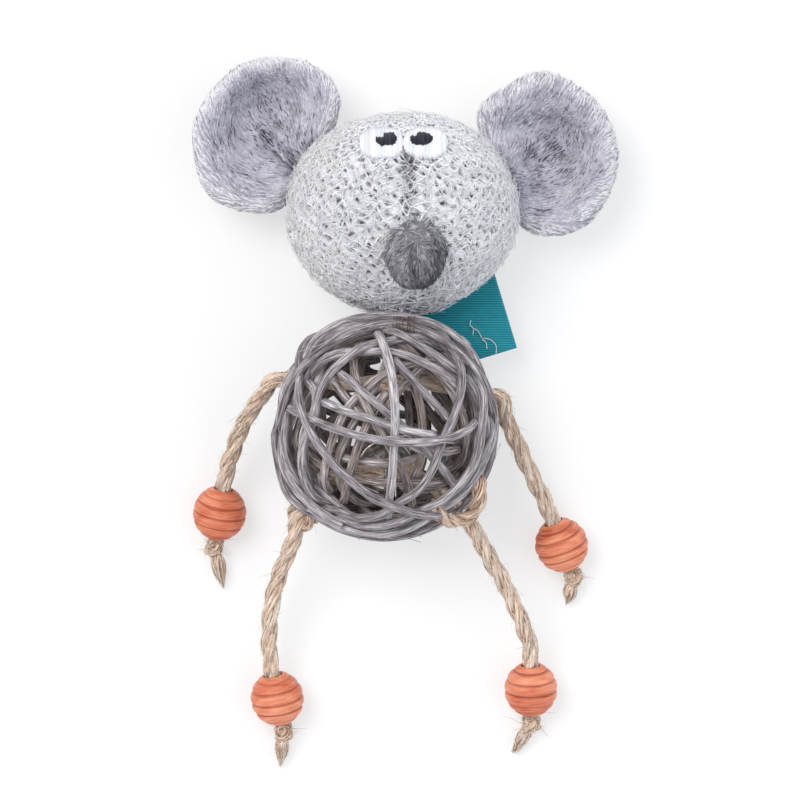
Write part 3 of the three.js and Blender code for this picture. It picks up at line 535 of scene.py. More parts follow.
class MouseRopeSettings(bpy.types.PropertyGroup):
    """Sizes and colours of the jute ropes"""
    diameter: length_setting("Diameter", 4.4, "Diameter of the ropes")
    pitch: length_setting("Pitch", 23.0, "Length of rope in which a ply turns once")
    # The dark fibre colour is both the darkest jute and the painted shade between the plies near a
    # rope's middle.
    dark: colour_setting("Dark fibre", (0.5, 0.35, 0.25), "Jute in the hollows between fibres")
    tan: colour_setting("Tan", (1.0, 0.87, 0.77), "The jute's main colour")
    pale: colour_setting("Pale fibre", (1.0, 0.98, 0.93), "The palest jute fibres")


class MouseHeadSettings(bpy.types.PropertyGroup):
    """Sizes and colours of the knitted head"""
    width: length_setting("Width", 64.8, "Width of the stuffed head")
    length: length_setting("Length", 55.8, "Length of the head from chin to crown")
    depth: length_setting("Depth", 50.0, "Depth of the head from front to back")
    yarn: length_setting("Yarn", 0.5, "Diameter of the knitting yarn")
    stitches: count_setting("Stitches", 50, "Cells in each round of the knitted net")
    rounds: count_setting("Rounds", 46, "Rounds of yarn from crown to chin")
    # The Hollows colour is painted shade: the fabric darkens toward it with a cell's depth and in
    # the forehead's crease, and the yarn and fluff darken toward it in the crease and under the
    # chin.
    hollow: colour_setting("Hollows", (0.38, 0.38, 0.41), "The fabric seen between the stitches")
    grey: colour_setting("Grey", (0.95, 0.95, 0.965), "The yarn's main colour")
    pale: colour_setting("Pale", (1.0, 1.0, 1.0), "The palest fibres of the yarn")


class MousePlushSettings(bpy.types.PropertyGroup):
    """Sizes and colours of the plush ears and nose"""
    pile: length_setting("Ear pile", 1.6, "Length of the pile on the ears")
    ear_shade: colour_setting("Ear shade", (0.36, 0.345, 0.4), "The deep end of the ears' pile")
    ear: colour_setting("Ear", (0.83, 0.82, 0.87), "The ears' main colour")
    ear_pale: colour_setting("Ear tips", (1.0, 0.995, 1.0), "The palest pile of the ears")
    nose_shade: colour_setting("Nose shade", (0.3, 0.3, 0.32), "The deep end of the nose's pile")
    nose: colour_setting("Nose", (0.59, 0.585, 0.61), "The nose's main colour")
    nose_pale: colour_setting("Nose tips", (0.82, 0.815, 0.83), "The palest pile of the nose")


class MouseTrimSettings(bpy.types.PropertyGroup):
    """Colours of the beads, the label, the bell and the stitched eyes"""
    wood: colour_setting("Bead", (0.83, 0.435, 0.3), "The beads' stained wood")
    # Bead grain is the wood's dark grain and also the painted shade in the grooves.
    wood_dark: colour_setting("Bead grain", (0.58, 0.26, 0.18), "Dark grain and grooves")
    wood_pale: colour_setting("Bead pale", (0.95, 0.62, 0.48), "Where the stain is thin")
    ribbon: colour_setting("Ribbon", (0.035, 0.5, 0.56), "The woven label's colour")
    nickel: colour_setting("Nickel", (0.8, 0.79, 0.76), "The bell's metal")
    eye: colour_setting("Eye white", (0.95, 0.96, 0.98), "The stitched white of the eyes")
    pupil: colour_setting("Pupil", (0.13, 0.14, 0.19), "The stitched pupils")


SETTINGS = (
    ("mouse_ball", MouseBallSettings), ("mouse_rope", MouseRopeSettings),
    ("mouse_head", MouseHeadSettings), ("mouse_plush", MousePlushSettings),
    ("mouse_trim", MouseTrimSettings),
)


# -------- stage

WHITENED = 0.55  # how much of the floor that the camera sees is plain white, over its shadows


class MOUSE_OT_stage(bpy.types.Operator):
    """Add the pale floor, the soft light and the camera straight above"""
    bl_idname = "mouse.stage"
    bl_label = "Stage"

    def execute(self, context):
        scene = context.scene
        scene.view_settings.view_transform = "Standard"
        floor = bmesh.new()
        bmesh.ops.create_grid(floor, x_segments=2, y_segments=2, size=3)
        mesh = mesh_of(floor, "floor")
        material, tree, shader = new_material("pale_floor", 0.9, specular=0.0)
        shader.inputs["Base Color"].default_value = colour_of((0.985, 0.985, 0.985))
        camera_ray = add_node(tree, "ShaderNodeLightPath").outputs["Is Camera Ray"]
        share = calculate(tree, "MULTIPLY", camera_ray, WHITENED)
        white = add_node(tree, "ShaderNodeEmission", {"Color": (1, 1, 1, 1), "Strength": 1.0})
        blend = add_node(
            tree, "ShaderNodeMixShader", {0: share, 1: shader.outputs[0], 2: white.outputs[0]})
        tree.links.new(blend.outputs[0], tree.nodes["Material Output"].inputs["Surface"])
        mesh.materials.append(material)
        linked("floor", mesh)

        world = bpy.data.worlds.new("studio")
        world.use_nodes = True
        sky = world.node_tree.nodes["Background"]
        sky.inputs["Color"].default_value = colour_of((0.98, 0.985, 1.0))
        sky.inputs["Strength"].default_value = 0.64
        scene.world = world
        for name, place, strength, spread, colour in (
            ("key", (-0.6, 0.5, 1.4), 1.5, 34, (1.0, 0.98, 0.955)),
            ("fill", (1.0, -0.1, 1.1), 0.65, 60, (0.83, 0.92, 1.0)),
        ):
            lamp = bpy.data.lights.new(name, "SUN")
            lamp.energy = strength
            lamp.angle = math.radians(spread)
            lamp.color = colour
            aim = Vector(place).to_track_quat("Z", "Y")
            linked(name, lamp).rotation_euler = aim.to_euler()

        lens = bpy.data.cameras.new("camera")
        lens.sensor_fit = "HORIZONTAL"
        lens.sensor_width = 36
        lens.lens = lens.sensor_width * EYE_HEIGHT / (2 * PICTURE_MIDDLE / PIXELS_PER_MM)
        lens.clip_end = 20
        camera = linked("camera", lens)
        camera.location = placed(seen(PICTURE_MIDDLE, PICTURE_MIDDLE) + (0, 0, EYE_HEIGHT))
        scene.camera = camera
        return {"FINISHED"}


# -------- jute

ARM_CORE_ROUTE = [
    (-31.4, 13.2, -3), (-25, 14.5, -2), (-18, 13.6, 0), (-12, 12.5, 2), (0, 12.6, 3),
    (12, 12.4, 1), (20, 11.6, -2.5), (27, 10, -6), (32.6, 8.6, -8),
]
LEG_CORE_ROUTE = [
    (-20.75, -21, -3.4), (-15.6, -16.2, -1.4), (-10.6, -13.2, 3.6), (-5.4, -11.6, 8),
    BELL_HANG, (5.6, -12.1, 9.3), (10.4, -14.4, 8.6), (15.4, -17.8, 6.8), (20, -22.1, 4),
]
# How the legs' hitches wind round the ball's strands.
LEFT_HITCH_ROUTE = [
    (-18.6, -20, -3.6), (-21.2, -24.2, -1.6), (-21.2, -27, -2.8), (-23.4, -27.6, -6.4),
    (-26, -25.2, -7.6), (-25.6, -22.2, -5.4), (-22.6, -21.2, -2.6), (-20.2, -23.8, -2.2),
    (-19.9, -26.6, -3.6),
]
RIGHT_HITCH_ROUTE = [
    (24.4, -12.6, 4.5), (26.3, -15.8, 8.6), (26.2, -19.4, 8.4), (24.9, -23, 6.4),
    (21.8, -25.5, 5.6), (18, -25.6, 7.4), (14.9, -23.7, 10.2), (12.4, -21.2, 12.4),
]
# Each limb: its rope's route to the bead, the way it comes from inside the ball and the end of
# its tail.
LIMBS = {
    "left_arm": (
        [(-31.4, 13.2, -3), (-35.3, 8.1, -5.5), (-39.6, 1.7, -10), (-42.8, -5.9, -15.5)],
        (0.95, 0.25, 0.15), (-45.9, -44.8, -29.2),
    ),
    "right_arm": (
        [(32.6, 8.6, -8), (34, 2.6, -11), (36.9, -3.6, -14), (40, -10.6, -17)],
        (-0.93, 0.22, 0.28), (51.5, -49.6, -29.2),
    ),
    "left_leg": (
        [(-24.2, -24.6, -4), (-26, -32.2, -9), (-29.1, -39.4, -12.5), (-31.4, -47, -15.5),
         (-32.7, -56.4, -18)],
        (0.69, 0.72, 0.1), (-29.7, -95.5, -29.2),
    ),
    "right_leg": (
        [(23.6, -26.2, 1.5), (27, -32.4, -3.2), (30, -37.8, -7.6), (33.9, -44.6, -12),
         (37.8, -53, -15.6)],
        (-0.58, 0.66, 0.4), (36.4, -91.9, -29.2),
    ),
}
ROOT_RUN = 3.0  # how much of the rope inside the ball is the limb's own
STRAIGHT_RUN = 12  # how far a rope runs straight to its bead's middle
PAST_BEAD = 7.4  # and how far from there to its stopper knot
BEAD_LENGTH = 14.6
KNOT_AWAY = 10.3  # from a bead's middle to its stopper knot's
TAIL_AWAY = 1.8  # from that middle to the frayed end's start
PLIES = 3
ROPE_STEP, KNOT_STEP = 0.9, 0.45  # between the places of a rope's path
# Shares of a rope's diameter: from its middle to a ply's, a ply's radius, and how far over the
# middle of its ply a fibre lies.
PLY_AWAY, PLY_RADIUS, FIBRE_RISE = 0.268, 0.245, 0.247
KNOT_PLY = 0.26  # a ply's place and radius in a knot, as a share of its rope
STRAY_RADII = np.linspace(0.06, 0.02, 7)


def bead_place(name):
    """A bead's middle, where its spin joint stands, and the way along its bore."""
    joint = JOINTS[name + "_bead_spin"]
    return np.array(joint["pos_m"]) / MM - BALL, unit(joint["axis"])


def limb_path(name):
    route, root_way, _ = LIMBS[name]
    bead, aim = bead_place(name)
    root = np.array(route[0]) + ROOT_RUN * unit(root_way)
    through = [bead + run * aim for run in (-STRAIGHT_RUN, -STRAIGHT_RUN / 2, 0, PAST_BEAD)]
    return routed([root, *route, *through], ROPE_STEP)


def jute_material():
    if "laid_jute" not in bpy.data.materials:
        rope = bpy.context.scene.mouse_rope
        fibre_material(
            "laid_jute", [(0.1, rope.dark), (0.5, rope.tan), (0.88, rope.pale)],
            3.0, 0.16, 0.95, tinted=0.55, patches=0.12, patch_length=5.0, bump_depth=0.3,
            sheen=0.1, specular=0.1, contrast=8.0,
        )
    return bpy.data.materials["laid_jute"]


def swollen(path, seed):
    """Uneven thickness for a hand-laid ply."""
    return 1 + 0.08 * waves(path, 5.0, seed)


def rope_fibres(path, diameter, pitch, count, stray, start, seed):
    """Fibres that lie in the rope's plies, and stray hairs that leave it."""
    rng = np.random.default_rng(seed)
    along, across, third = ways_of(path)
    total = length_of(path)
    step = total / (len(path) - 1)
    lying = []
    for _ in range(count):
        run = rng.uniform(5, 13)
        first = rng.integers(0, max(1, len(path) - int(run / step) - 1))
        span = slice(first, min(len(path), first + max(4, int(run / step))))
        ply = rng.integers(0, PLIES)
        turn = start + TAU * (np.arange(len(path))[span] * step / pitch + ply / PLIES)
        spin = rng.uniform(0, TAU) - turn * rng.uniform(0.5, 1.6)
        out = way_at(turn, across[span], third[span])
        rise = diameter * FIBRE_RISE + rng.uniform(-0.05, 0.15)
        spot = path[span] + diameter * PLY_AWAY * out
        spot = spot + rise * way_at(spin, out, np.cross(along[span], out))
        lying.append(spot[::2] if len(spot) > 8 else spot)
    loose = []
    for _ in range(stray):
        root = rng.integers(2, len(path) - 2)
        out = way_at(rng.uniform(0, TAU), across[root], third[root])
        run = rng.uniform(1.2, 4.2)
        lean = rng.normal(0, 0.9)
        curl = rng.normal(0, 0.7, 3)
        share = np.linspace(0, 1, len(STRAY_RADII))[:, None]
        spot = path[root] + out * diameter * 0.4
        spot = spot + run * share * (out * 0.25 + along[root] * lean)
        loose.append(above_floor(spot + run * (share ** 2 - 0.6 * share ** 3) * curl, 0.15))
    return lying, loose


def paint_ply_shade(mesh, path, diameter):
    """Paints shade on the plies near a rope's middle, where they lie against each other."""
    apart = values_of(mesh, "position")[:, None] - placed(path)
    deep = (0.44 - np.sqrt((apart ** 2).sum(2).min(1)) / (diameter * MM)) / 0.2
    set_values(mesh, "tint", values_of(mesh, "tint") - 0.8 * smooth(deep))


def rope_pieces(name, path, body, replaces, seed, fibres=1050, stray=240):
    """The plies of one length of rope, and its fibres as a piece of their own."""
    rope = bpy.context.scene.mouse_rope
    diameter, pitch = rope.diameter / MM, rope.pitch / MM
    plies = twisted(path, PLIES, diameter * PLY_AWAY, pitch, start=seed)
    radii = [swollen(ply, seed + i) for i, ply in enumerate(plies)]
    mesh = threads(
        name, plies, diameter * PLY_RADIUS, 16, radii, [0.5] * PLIES, seed, ridges=0.1)
    # Painted shade between the plies, near the rope's middle.
    paint_ply_shade(mesh, path, diameter)
    piece = add_piece(name, mesh, body, jute_material(), replaces)
    lying, loose = rope_fibres(path, diameter, pitch, fibres, stray, seed, seed + 50)
    radii = [0.13] * len(lying) + [STRAY_RADII] * len(loose)
    tints = np.random.default_rng(seed + 61).uniform(0.0, 1.3, len(radii))
    thread_piece(name + "_fibres", lying + loose, 1.0, 4, radii, tints, seed + 60, body=body,
                 material=jute_material())
    return piece


def knot_path(middle, aim, width, reach, turn):
    """One rope's way through a tight overhand knot whose ends leave along its aim."""
    t = np.linspace(-0.35, TAU + 0.35, 90)
    x = (np.sin(t) + 2 * np.sin(2 * t)) / 3
    y = (np.cos(t) - 2 * np.cos(2 * t)) / 3
    z = -np.sin(3 * t)
    along = unit(aim)
    across = unit(np.cross(along, (math.sin(turn), math.cos(turn), 0.3)))
    third = np.cross(along, across)
    return (np.asarray(middle) + (x * width)[:, None] * across + (y * reach)[:, None] * along
            + (z * width * 0.55)[:, None] * third)


def knot_piece(name, route, cord, body, replaces, seed):
    """A knotted lump of rope: a short strand tied over itself, plies and fibres."""
    route = resampled(route, KNOT_STEP)
    plies = twisted(route, PLIES, cord * KNOT_PLY, cord * 4, start=seed)
    radii = [swollen(ply, seed + i) for i, ply in enumerate(plies)]
    lying, loose = rope_fibres(route, cord, cord * 4, 340, 90, seed, seed + 9)
    sizes = [cord * KNOT_PLY * r for r in radii] + [0.1] * len(lying) + [STRAY_RADII] * len(loose)
    paths = [above_floor(path, 0.3) for path in plies + lying + loose]
    tints = np.random.default_rng(seed + 62).uniform(-0.1, 1.15, len(paths))
    # The knot's plies are tinted darker than a rope's: painted shade among the knot's fibres.
    tints[:PLIES] = 0.36
    mesh = threads(name, paths, 1.0, 6, sizes, tints, seed)
    paint_ply_shade(mesh, route, cord)
    return add_piece(name, mesh, body, jute_material(), replaces)


FRAY_FLARE = 1.5
FRAY_STEPS = 8
FRAY_FIBRES = 260


def frayed_piece(name, start, tip, body, replaces, seed):
    """The loose end under a stopper knot: its plies come undone into a brush of fibres."""
    rng = np.random.default_rng(seed)
    run = tip - start
    along = unit(run)
    across = unit(np.cross(along, (0, 0, 1)))
    third = np.cross(along, across)
    paths = []
    share = np.linspace(0, 1, FRAY_STEPS)[:, None]
    for ply in range(PLIES):
        out = way_at(TAU * ply / PLIES + share[:, 0] * 2.4, across, third)
        spread = (0.9 + np.sin(share * math.pi) * FRAY_FLARE * 0.35) * (1.15 - share)
        paths.append(start + share * run * rng.uniform(0.72, 0.9) + out * spread)
    for _ in range(FRAY_FIBRES):
        out = way_at(rng.uniform(0, TAU), across, third)
        wide = FRAY_FLARE * math.sqrt(rng.uniform(0.02, 1))
        reach = rng.uniform(0.5, 1.06)
        curl = rng.normal(0, 0.45, 3)
        bend = np.sin(share * math.pi * rng.uniform(0.6, 1.4)) * curl
        spread = 0.6 * (1.1 - share) + wide * np.sin(math.pi * (share * 0.88 + 0.12))
        paths.append(start + share * run * reach + out * spread + bend * share)
    paths = [above_floor(path, 0.2) for path in paths]
    sizes = [np.linspace(0.95, 0.285, FRAY_STEPS)] * PLIES
    sizes += [np.linspace(0.14, 0.04, FRAY_STEPS)] * FRAY_FIBRES
    tints = rng.uniform(0.0, 1.3, len(paths))
    return thread_piece(name, paths, 1.0, 6, sizes, tints, seed, body=body,
                        material=jute_material(), replaces=replaces)


class MOUSE_OT_limbs(bpy.types.Operator):
    """Lay the four rope limbs with their stopper knots and frayed ends"""
    bl_idname = "mouse.limbs"
    bl_label = "Arms and Legs"

    def execute(self, context):
        for seed, (name, (route, _, tail)) in enumerate(LIMBS.items()):
            path = limb_path(name)
            rope = rope_pieces(name + "_jute_rope", path, name, [name + "_rope"], 7 * seed + 3)
            bead, aim = bead_place(name)
            middle = bead + KNOT_AWAY * aim
            knot = knot_piece(
                name + "_tied_knot", knot_path(middle, aim, 2.15, 1.75, 0.6 * seed), 2.7, name,
                [name + "_stopper_knot"], 31 + seed,
            )
            way = unit(np.array(tail) - middle)
            frayed = frayed_piece(
                name + "_loose_fibres", middle + TAIL_AWAY * way, np.array(tail), name,
                [name + "_frayed_end"], 41 + seed,
            )
        return {"FINISHED"}


class MOUSE_OT_cores(bpy.types.Operator):
    """Run the arm rope and the leg rope through the ball, and tie the legs' hip knots"""
    bl_idname = "mouse.cores"
    bl_label = "Ropes Through the Ball"

    def execute(self, context):
        arm, leg = routed(ARM_CORE_ROUTE, ROPE_STEP), routed(LEG_CORE_ROUTE, ROPE_STEP)
        for name, path, seed, fibres, stray in (
                ("arm", arm[3:-3], 71, 700, 60), ("leg", leg, 77, 560, 50)):
            rope_pieces(name + "_rope_inside", path, "ball", [name + "_rope_core"], seed,
                        fibres, stray)
        for name, route, cord, seed in (("left_leg", LEFT_HITCH_ROUTE, 2.5, 83),
                                        ("right_leg", RIGHT_HITCH_ROUTE, 4.2, 87)):
            knot_piece(name + "_half_hitch", routed(route, KNOT_STEP), cord, "ball",
                       [name + "_hip_knot"], seed)
        return {"FINISHED"}


# -------- rattan ball

# The strands seen in front, by pixels of the photograph, from the outermost in: the radius that
# each lies at, which of its ends are cut there, and the pixels it passes. An end that isn't cut
# carries on behind the ball.
FRONT_STRANDS = [
    (30.9, "both", [(288, 408), (320, 423), (354, 434), (390, 441), (426, 442), (460, 434),
     (483, 421)]),
    (30.7, "", [(304, 341), (297, 376), (303, 412), (317, 441), (336, 466), (360, 487),
     (379, 500), (394, 505)]),
    (30.5, "", [(345, 330), (376, 323), (398, 333), (417, 344), (445, 361), (469, 376),
     (480, 391), (485, 405)]),
    (30.6, "", [(461, 384), (456, 412), (445, 441), (435, 464), (422, 487), (398, 507),
     (372, 518), (340, 519)]),
    (30.2, "start", [(377, 330), (384, 348), (388, 359), (393, 382), (395, 405), (395, 430),
     (393, 470), (390, 500)]),
    (30.9, "", [(481, 426), (477, 457), (455, 490), (426, 514), (390, 524), (351, 525),
     (319, 518)]),
    (30.8, "", [(286, 385), (282, 412), (284, 445), (290, 472), (301, 497),
     (316.4, 514.9), (335, 530), (358.6, 539.6), (379, 542.5), (400.8, 537.6), (421, 532),
     (441.4, 522)]),
    (29.6, "", [(379, 341), (355, 353), (333, 371), (320, 390), (313, 409)]),
    (28.9, "end", [(386, 350), (406, 355), (426, 364), (444, 374), (458, 386)]),
    (28.2, "both", [(394, 360), (411, 378), (429, 398), (440, 409), (449, 419)]),
    (27.4, "start", [(340, 373), (354, 384), (371, 399), (386, 411)]),
    (28.6, "both", [(322, 401), (345, 411), (372, 419), (404, 430), (436, 435)]),
    (31.0, "", [(307, 352.5), (316.3, 337.4), (330, 327.7), (350.7, 319.5), (371, 316),
     (390, 315.3), (413.4, 318.5), (437, 324), (458.8, 339), (472.8, 353), (484, 370), (490, 386),
     (493.3, 398.7), (494.9, 414.5), (489.7, 445), (481, 465)]),
    (30.9, "", [(312, 345), (299, 369), (287, 392.5), (282.2, 405), (279.7, 424),
     (281, 446), (285, 468), (292, 489), (305, 508)]),
    (31.0, "", [(279, 425), (274.5, 439.6), (276.3, 455), (280, 469.4), (281, 486),
     (285, 497), (296, 505), (316, 515)]),
    (27.9, "", [(300, 375), (316, 397), (303, 430), (304, 462), (311, 500)]),
]
# The strands behind them: radius, the tilt and heading of the axis each winds round, its
# latitude and how far it sways, in degrees.
BACK_STRANDS = [
    (29.9, 14, 215, -5, 3), (27.8, 16, 120, 4, 5), (27.4, 24, 300, -3, 6),
    (24.9, 78, 12, 5, 9), (24.4, 52, 70, -8, 8), (24.6, 84, 150, 7, 8), (24.2, 30, 250, 2, 9),
    (24.8, 62, -50, 4, 8), (21.9, 70, -15, -3, 8), (21.7, 60, 110, 5, 9), (22.0, 86, 60, 8, 7),
    (21.8, 75, 190, -6, 8),
    (28.9, 15, 40, -36, 6), (28.3, 28, 165, -48, 8), (28.6, 24, 285, -27, 7),
    (27.2, 34, 80, -62, 8), (26.6, 12, 205, -20, 6), (25.6, 40, 330, -55, 9),
    (25.2, 30, 120, -38, 9), (24.6, 22, 10, -50, 8),
]
STRAND_STEP = 1.5
SPLINTERS = 90
MOST_BEHIND = 30.0  # how far out a front strand lies at the back of the ball
BESIDE = 0.045  # half the angle between the two ends of a loop
LEAST_RADIUS, MOST_RADIUS = 21.5, 30.9
SETTLING = 160  # rounds in which the strands find their place; the last ten don't even them out
# Where the ropes leave the ball, the way from its middle, and the room that they take.
PASSAGES = [((-31.4, 13.2, -3), 3.6), ((32.6, 8.6, -8), 3.6), ((-20.75, -21, -3.4), 3.6),
            ((20, -22.1, 4), 4.4)]


def closed_behind(places, cut, rng):
    """Carries a front strand on round the back of the ball, near the great circle it lies on."""
    ways = unit(places)
    _, _, axes = np.linalg.svd(ways)
    axis = axes[2]
    across = unit(ways[0] - axis * (ways[0] @ axis))
    third = np.cross(axis, across)
    turn = np.unwrap(np.arctan2(ways @ third, ways @ across))
    latitude = np.arcsin(np.clip(ways @ axis, -1, 1))
    if turn[-1] < turn[0]:
        turn, third = -turn, -third
    steps = np.linspace(0, 1, 90)[1:-1]
    behind = turn[-1] + steps * (turn[0] + TAU - turn[-1])
    drift = rng.uniform(-0.07, 0.07)
    reach = np.linalg.norm(places, axis=1)
    level = min(reach.mean(), MOST_BEHIND)
    reach_behind = (level + (reach[-1] - level) * smooth(1 - steps / 0.2)
                    + (reach[0] - level) * smooth((steps - 0.8) / 0.2))
    lean = latitude[-1] + (latitude[0] - latitude[-1]) * smooth(steps)
    lean = lean + np.sin(steps * math.pi) * drift
    front, after = np.array([turn, latitude, reach]), np.array([behind, lean, reach_behind])
    before = after - np.array([[TAU], [0], [0]])
    early, late = steps < 0.78, steps > 0.22
    if cut == "both":
        runs = [front, after[:, early & late]]
    elif cut == "start":
        runs = [np.hstack([front, after[:, early]])]
    elif cut == "end":
        runs = [np.hstack([before[:, late], front])]
    else:  # its ends lie side by side at the back
        after[1] += BESIDE * smooth((steps - 0.3) / 0.14)
        before[1] -= BESIDE * smooth((0.7 - steps) / 0.14)
        runs = [np.hstack([before[:, steps > 0.44], front, after[:, steps < 0.56]])]
    return [way_at(leans, way_at(turns, across, third), axis) * reaches[:, None]
            for turns, leans, reaches in runs]


def back_strand(radius, tilt, heading, latitude, sway, rng):
    """A strand that winds once round an axis and a little over, and sways beside that circle."""
    tilt, heading = math.radians(tilt), math.radians(heading)
    axis = np.array([math.sin(tilt) * math.cos(heading), math.sin(tilt) * math.sin(heading),
                     math.cos(tilt)])
    across = unit(np.cross((0.1, 0.2, 1), axis))
    third = np.cross(axis, across)
    share = np.linspace(0, 1, 140)
    turn = rng.uniform(0, TAU) + share * TAU * 1.04
    lean = np.radians(latitude + sway * np.sin(2 * turn + rng.uniform(0, TAU)) + share * 6 - 3)
    return way_at(lean, way_at(turn, across, third), axis) * radius


def settled(strands, diameter):
    """Moves strands in and out so that they pass over and under each other. The order at a
    crossing is the order of the radii that they start at."""
    ways = np.vstack([unit(path) for path in strands])
    owner = np.concatenate([[i] * len(path) for i, path in enumerate(strands)])
    order = np.concatenate([range(len(path)) for path in strands])
    wish = np.linalg.norm(np.vstack(strands), axis=1)
    starts = np.array([np.linalg.norm(path, axis=1).max() for path in strands])
    least = diameter + 0.05
    near = ways @ ways.T > math.cos(least / LEAST_RADIUS)
    first, second = np.nonzero(np.triu(near, 1))
    apart = (owner[first] != owner[second]) | (np.abs(order[first] - order[second]) > 12)
    first, second = first[apart], second[apart]
    angle = np.arccos(np.clip((ways[first] * ways[second]).sum(1), -1, 1))
    over = np.where(
        owner[first] == owner[second], order[first] > order[second],
        starts[owner[first]] > starts[owner[second]])
    upper, lower = np.where(over, first, second), np.where(over, second, first)
    radius = wish.copy()
    ends = np.flatnonzero(np.diff(owner)) + 1
    runs = np.split(np.arange(len(radius)), ends)
    for turn in range(SETTLING):
        chord = 2 * np.sin(angle / 2) * (radius[upper] + radius[lower]) / 2
        need = np.sqrt(np.maximum(0, least ** 2 - chord ** 2))
        short = need - (radius[upper] - radius[lower])
        raised, lowered = np.zeros_like(radius), np.zeros_like(radius)
        np.maximum.at(raised, upper, np.maximum(short, 0))
        np.maximum.at(lowered, lower, np.maximum(short, 0))
        radius += 0.5 * (raised - lowered)
        if turn < SETTLING - 10:
            radius += 0.03 * (wish - radius)
            for run in runs:
                own = radius[run]
                padded = np.r_[own[:1], own, own[-1:]]
                radius[run] = 0.5 * own + 0.25 * (padded[:-2] + padded[2:])
        radius = np.clip(radius, LEAST_RADIUS, np.maximum(wish, MOST_RADIUS))
    eased = []
    for run in runs:
        own = ways[run] * radius[run, None]
        for _ in range(5):
            own[1:-1] = 0.5 * own[1:-1] + 0.25 * (own[:-2] + own[2:])
        eased.append(own)
    return eased


def kept_off(places, radius):
    """Pushes a strand aside where a rope leaves the ball."""
    ways = unit(places)
    for place, room in PASSAGES:
        toward = unit(place)
        angle = room / radius
        apart = np.arccos(np.clip(ways @ toward, -1, 1))[:, None]
        wide = (apart ** 4 + angle ** 4) ** 0.25
        aside = unit(ways - (ways @ toward)[:, None] * toward)
        pushed = toward * np.cos(wide) + aside * np.sin(wide)
        ways = np.where(apart < 4 * angle, pushed, ways)
    return ways * np.linalg.norm(places, axis=1, keepdims=True)


class MOUSE_OT_ball(bpy.types.Operator):
    """Wind the rattan ball from its photographed front strands and the ones behind"""
    bl_idname = "mouse.ball"
    bl_label = "Rattan Ball"

    def execute(self, context):
        ball = context.scene.mouse_ball
        rng = np.random.default_rng(11)
        strands = []
        for radius, cut, pixels in FRONT_STRANDS:
            places = routed([on_ball(*pixel, radius) for pixel in pixels], 1.0)
            strands += closed_behind(places, cut, rng)
        strands = [resampled(path, STRAND_STEP) for path in strands]
        for radius, *winding in BACK_STRANDS:
            path = resampled(back_strand(radius, *winding, rng), STRAND_STEP)
            strands.append(kept_off(path, radius))
        diameter = ball.strand / MM
        strands = settled(strands, diameter)
        grey, bare = (
            fibre_material(
                name, [(0.1, ball.dark), (0.5, main), (0.9, ball.pale)], 3.2, 0.2, 0.9,
                tinted=0.45, patches=0.15, patch_length=8.0, bump_depth=0.2, specular=0.1,
                contrast=5.5)
            for name, main in (("grey_rattan", ball.grey), ("bare_rattan", ball.bare)))
        layers = (
            ("rattan_outer_strands", 29.2, ["outer_strand_a", "outer_strand_b"], grey),
            ("rattan_second_strands", 26.2, ["second_strand_a", "second_strand_b"], grey),
            ("rattan_third_strands", 23.0, ["third_strand"], bare),
            ("rattan_inner_strands", 0.0, ["inner_strand"], bare),
        )
        left = list(range(len(strands)))
        for name, least, replaces, material in layers:
            own = [i for i in left if np.linalg.norm(strands[i], axis=1).mean() > least]
            left = [i for i in left if i not in own]
            paths = [strands[i] for i in own]
            radii = [1 + 0.06 * waves(path, 14.0, 5 + i) for i, path in zip(own, paths)]
            tints = rng.uniform(0.3, 0.8, len(paths))
            mesh = threads(name, paths, diameter / 2, 20, radii, tints, len(own), 0.06)
            add_piece(name, mesh, "ball", material, replaces)
            if name == "rattan_outer_strands":
                lifted = self.splinters(paths, diameter / 2, rng)
                thread_piece("rattan_splinters", lifted, 0.09, 4, tints=[1.0] * SPLINTERS,
                             body="ball", material=material)
        return {"FINISHED"}

    def splinters(self, paths, radius, rng):
        """Thin fibres that have lifted from the outer strands."""
        found = []
        for _ in range(SPLINTERS):
            path = paths[rng.integers(len(paths))]
            along, across, third = ways_of(path)
            root = rng.integers(3, len(path) - 8)
            out = way_at(rng.uniform(0, TAU), across[root], third[root])
            share = np.linspace(0, 1, 7)[:, None]
            run = rng.uniform(2, 8)
            lean = rng.normal(0, 0.25) * np.cross(along[root], out)
            way = along[root] + lean + out * rng.uniform(0, 0.12)
            spot = (path[root] + out * (radius + 0.05) + run * share * way
                    + run * 0.2 * share ** 2 * rng.normal(0, 0.6, 3))
            found.append(above_floor(spot, 0.1))
        return found


# -------- neck tie, bell and beads

TO_NECK = unit((4.9, 61, -7.1))


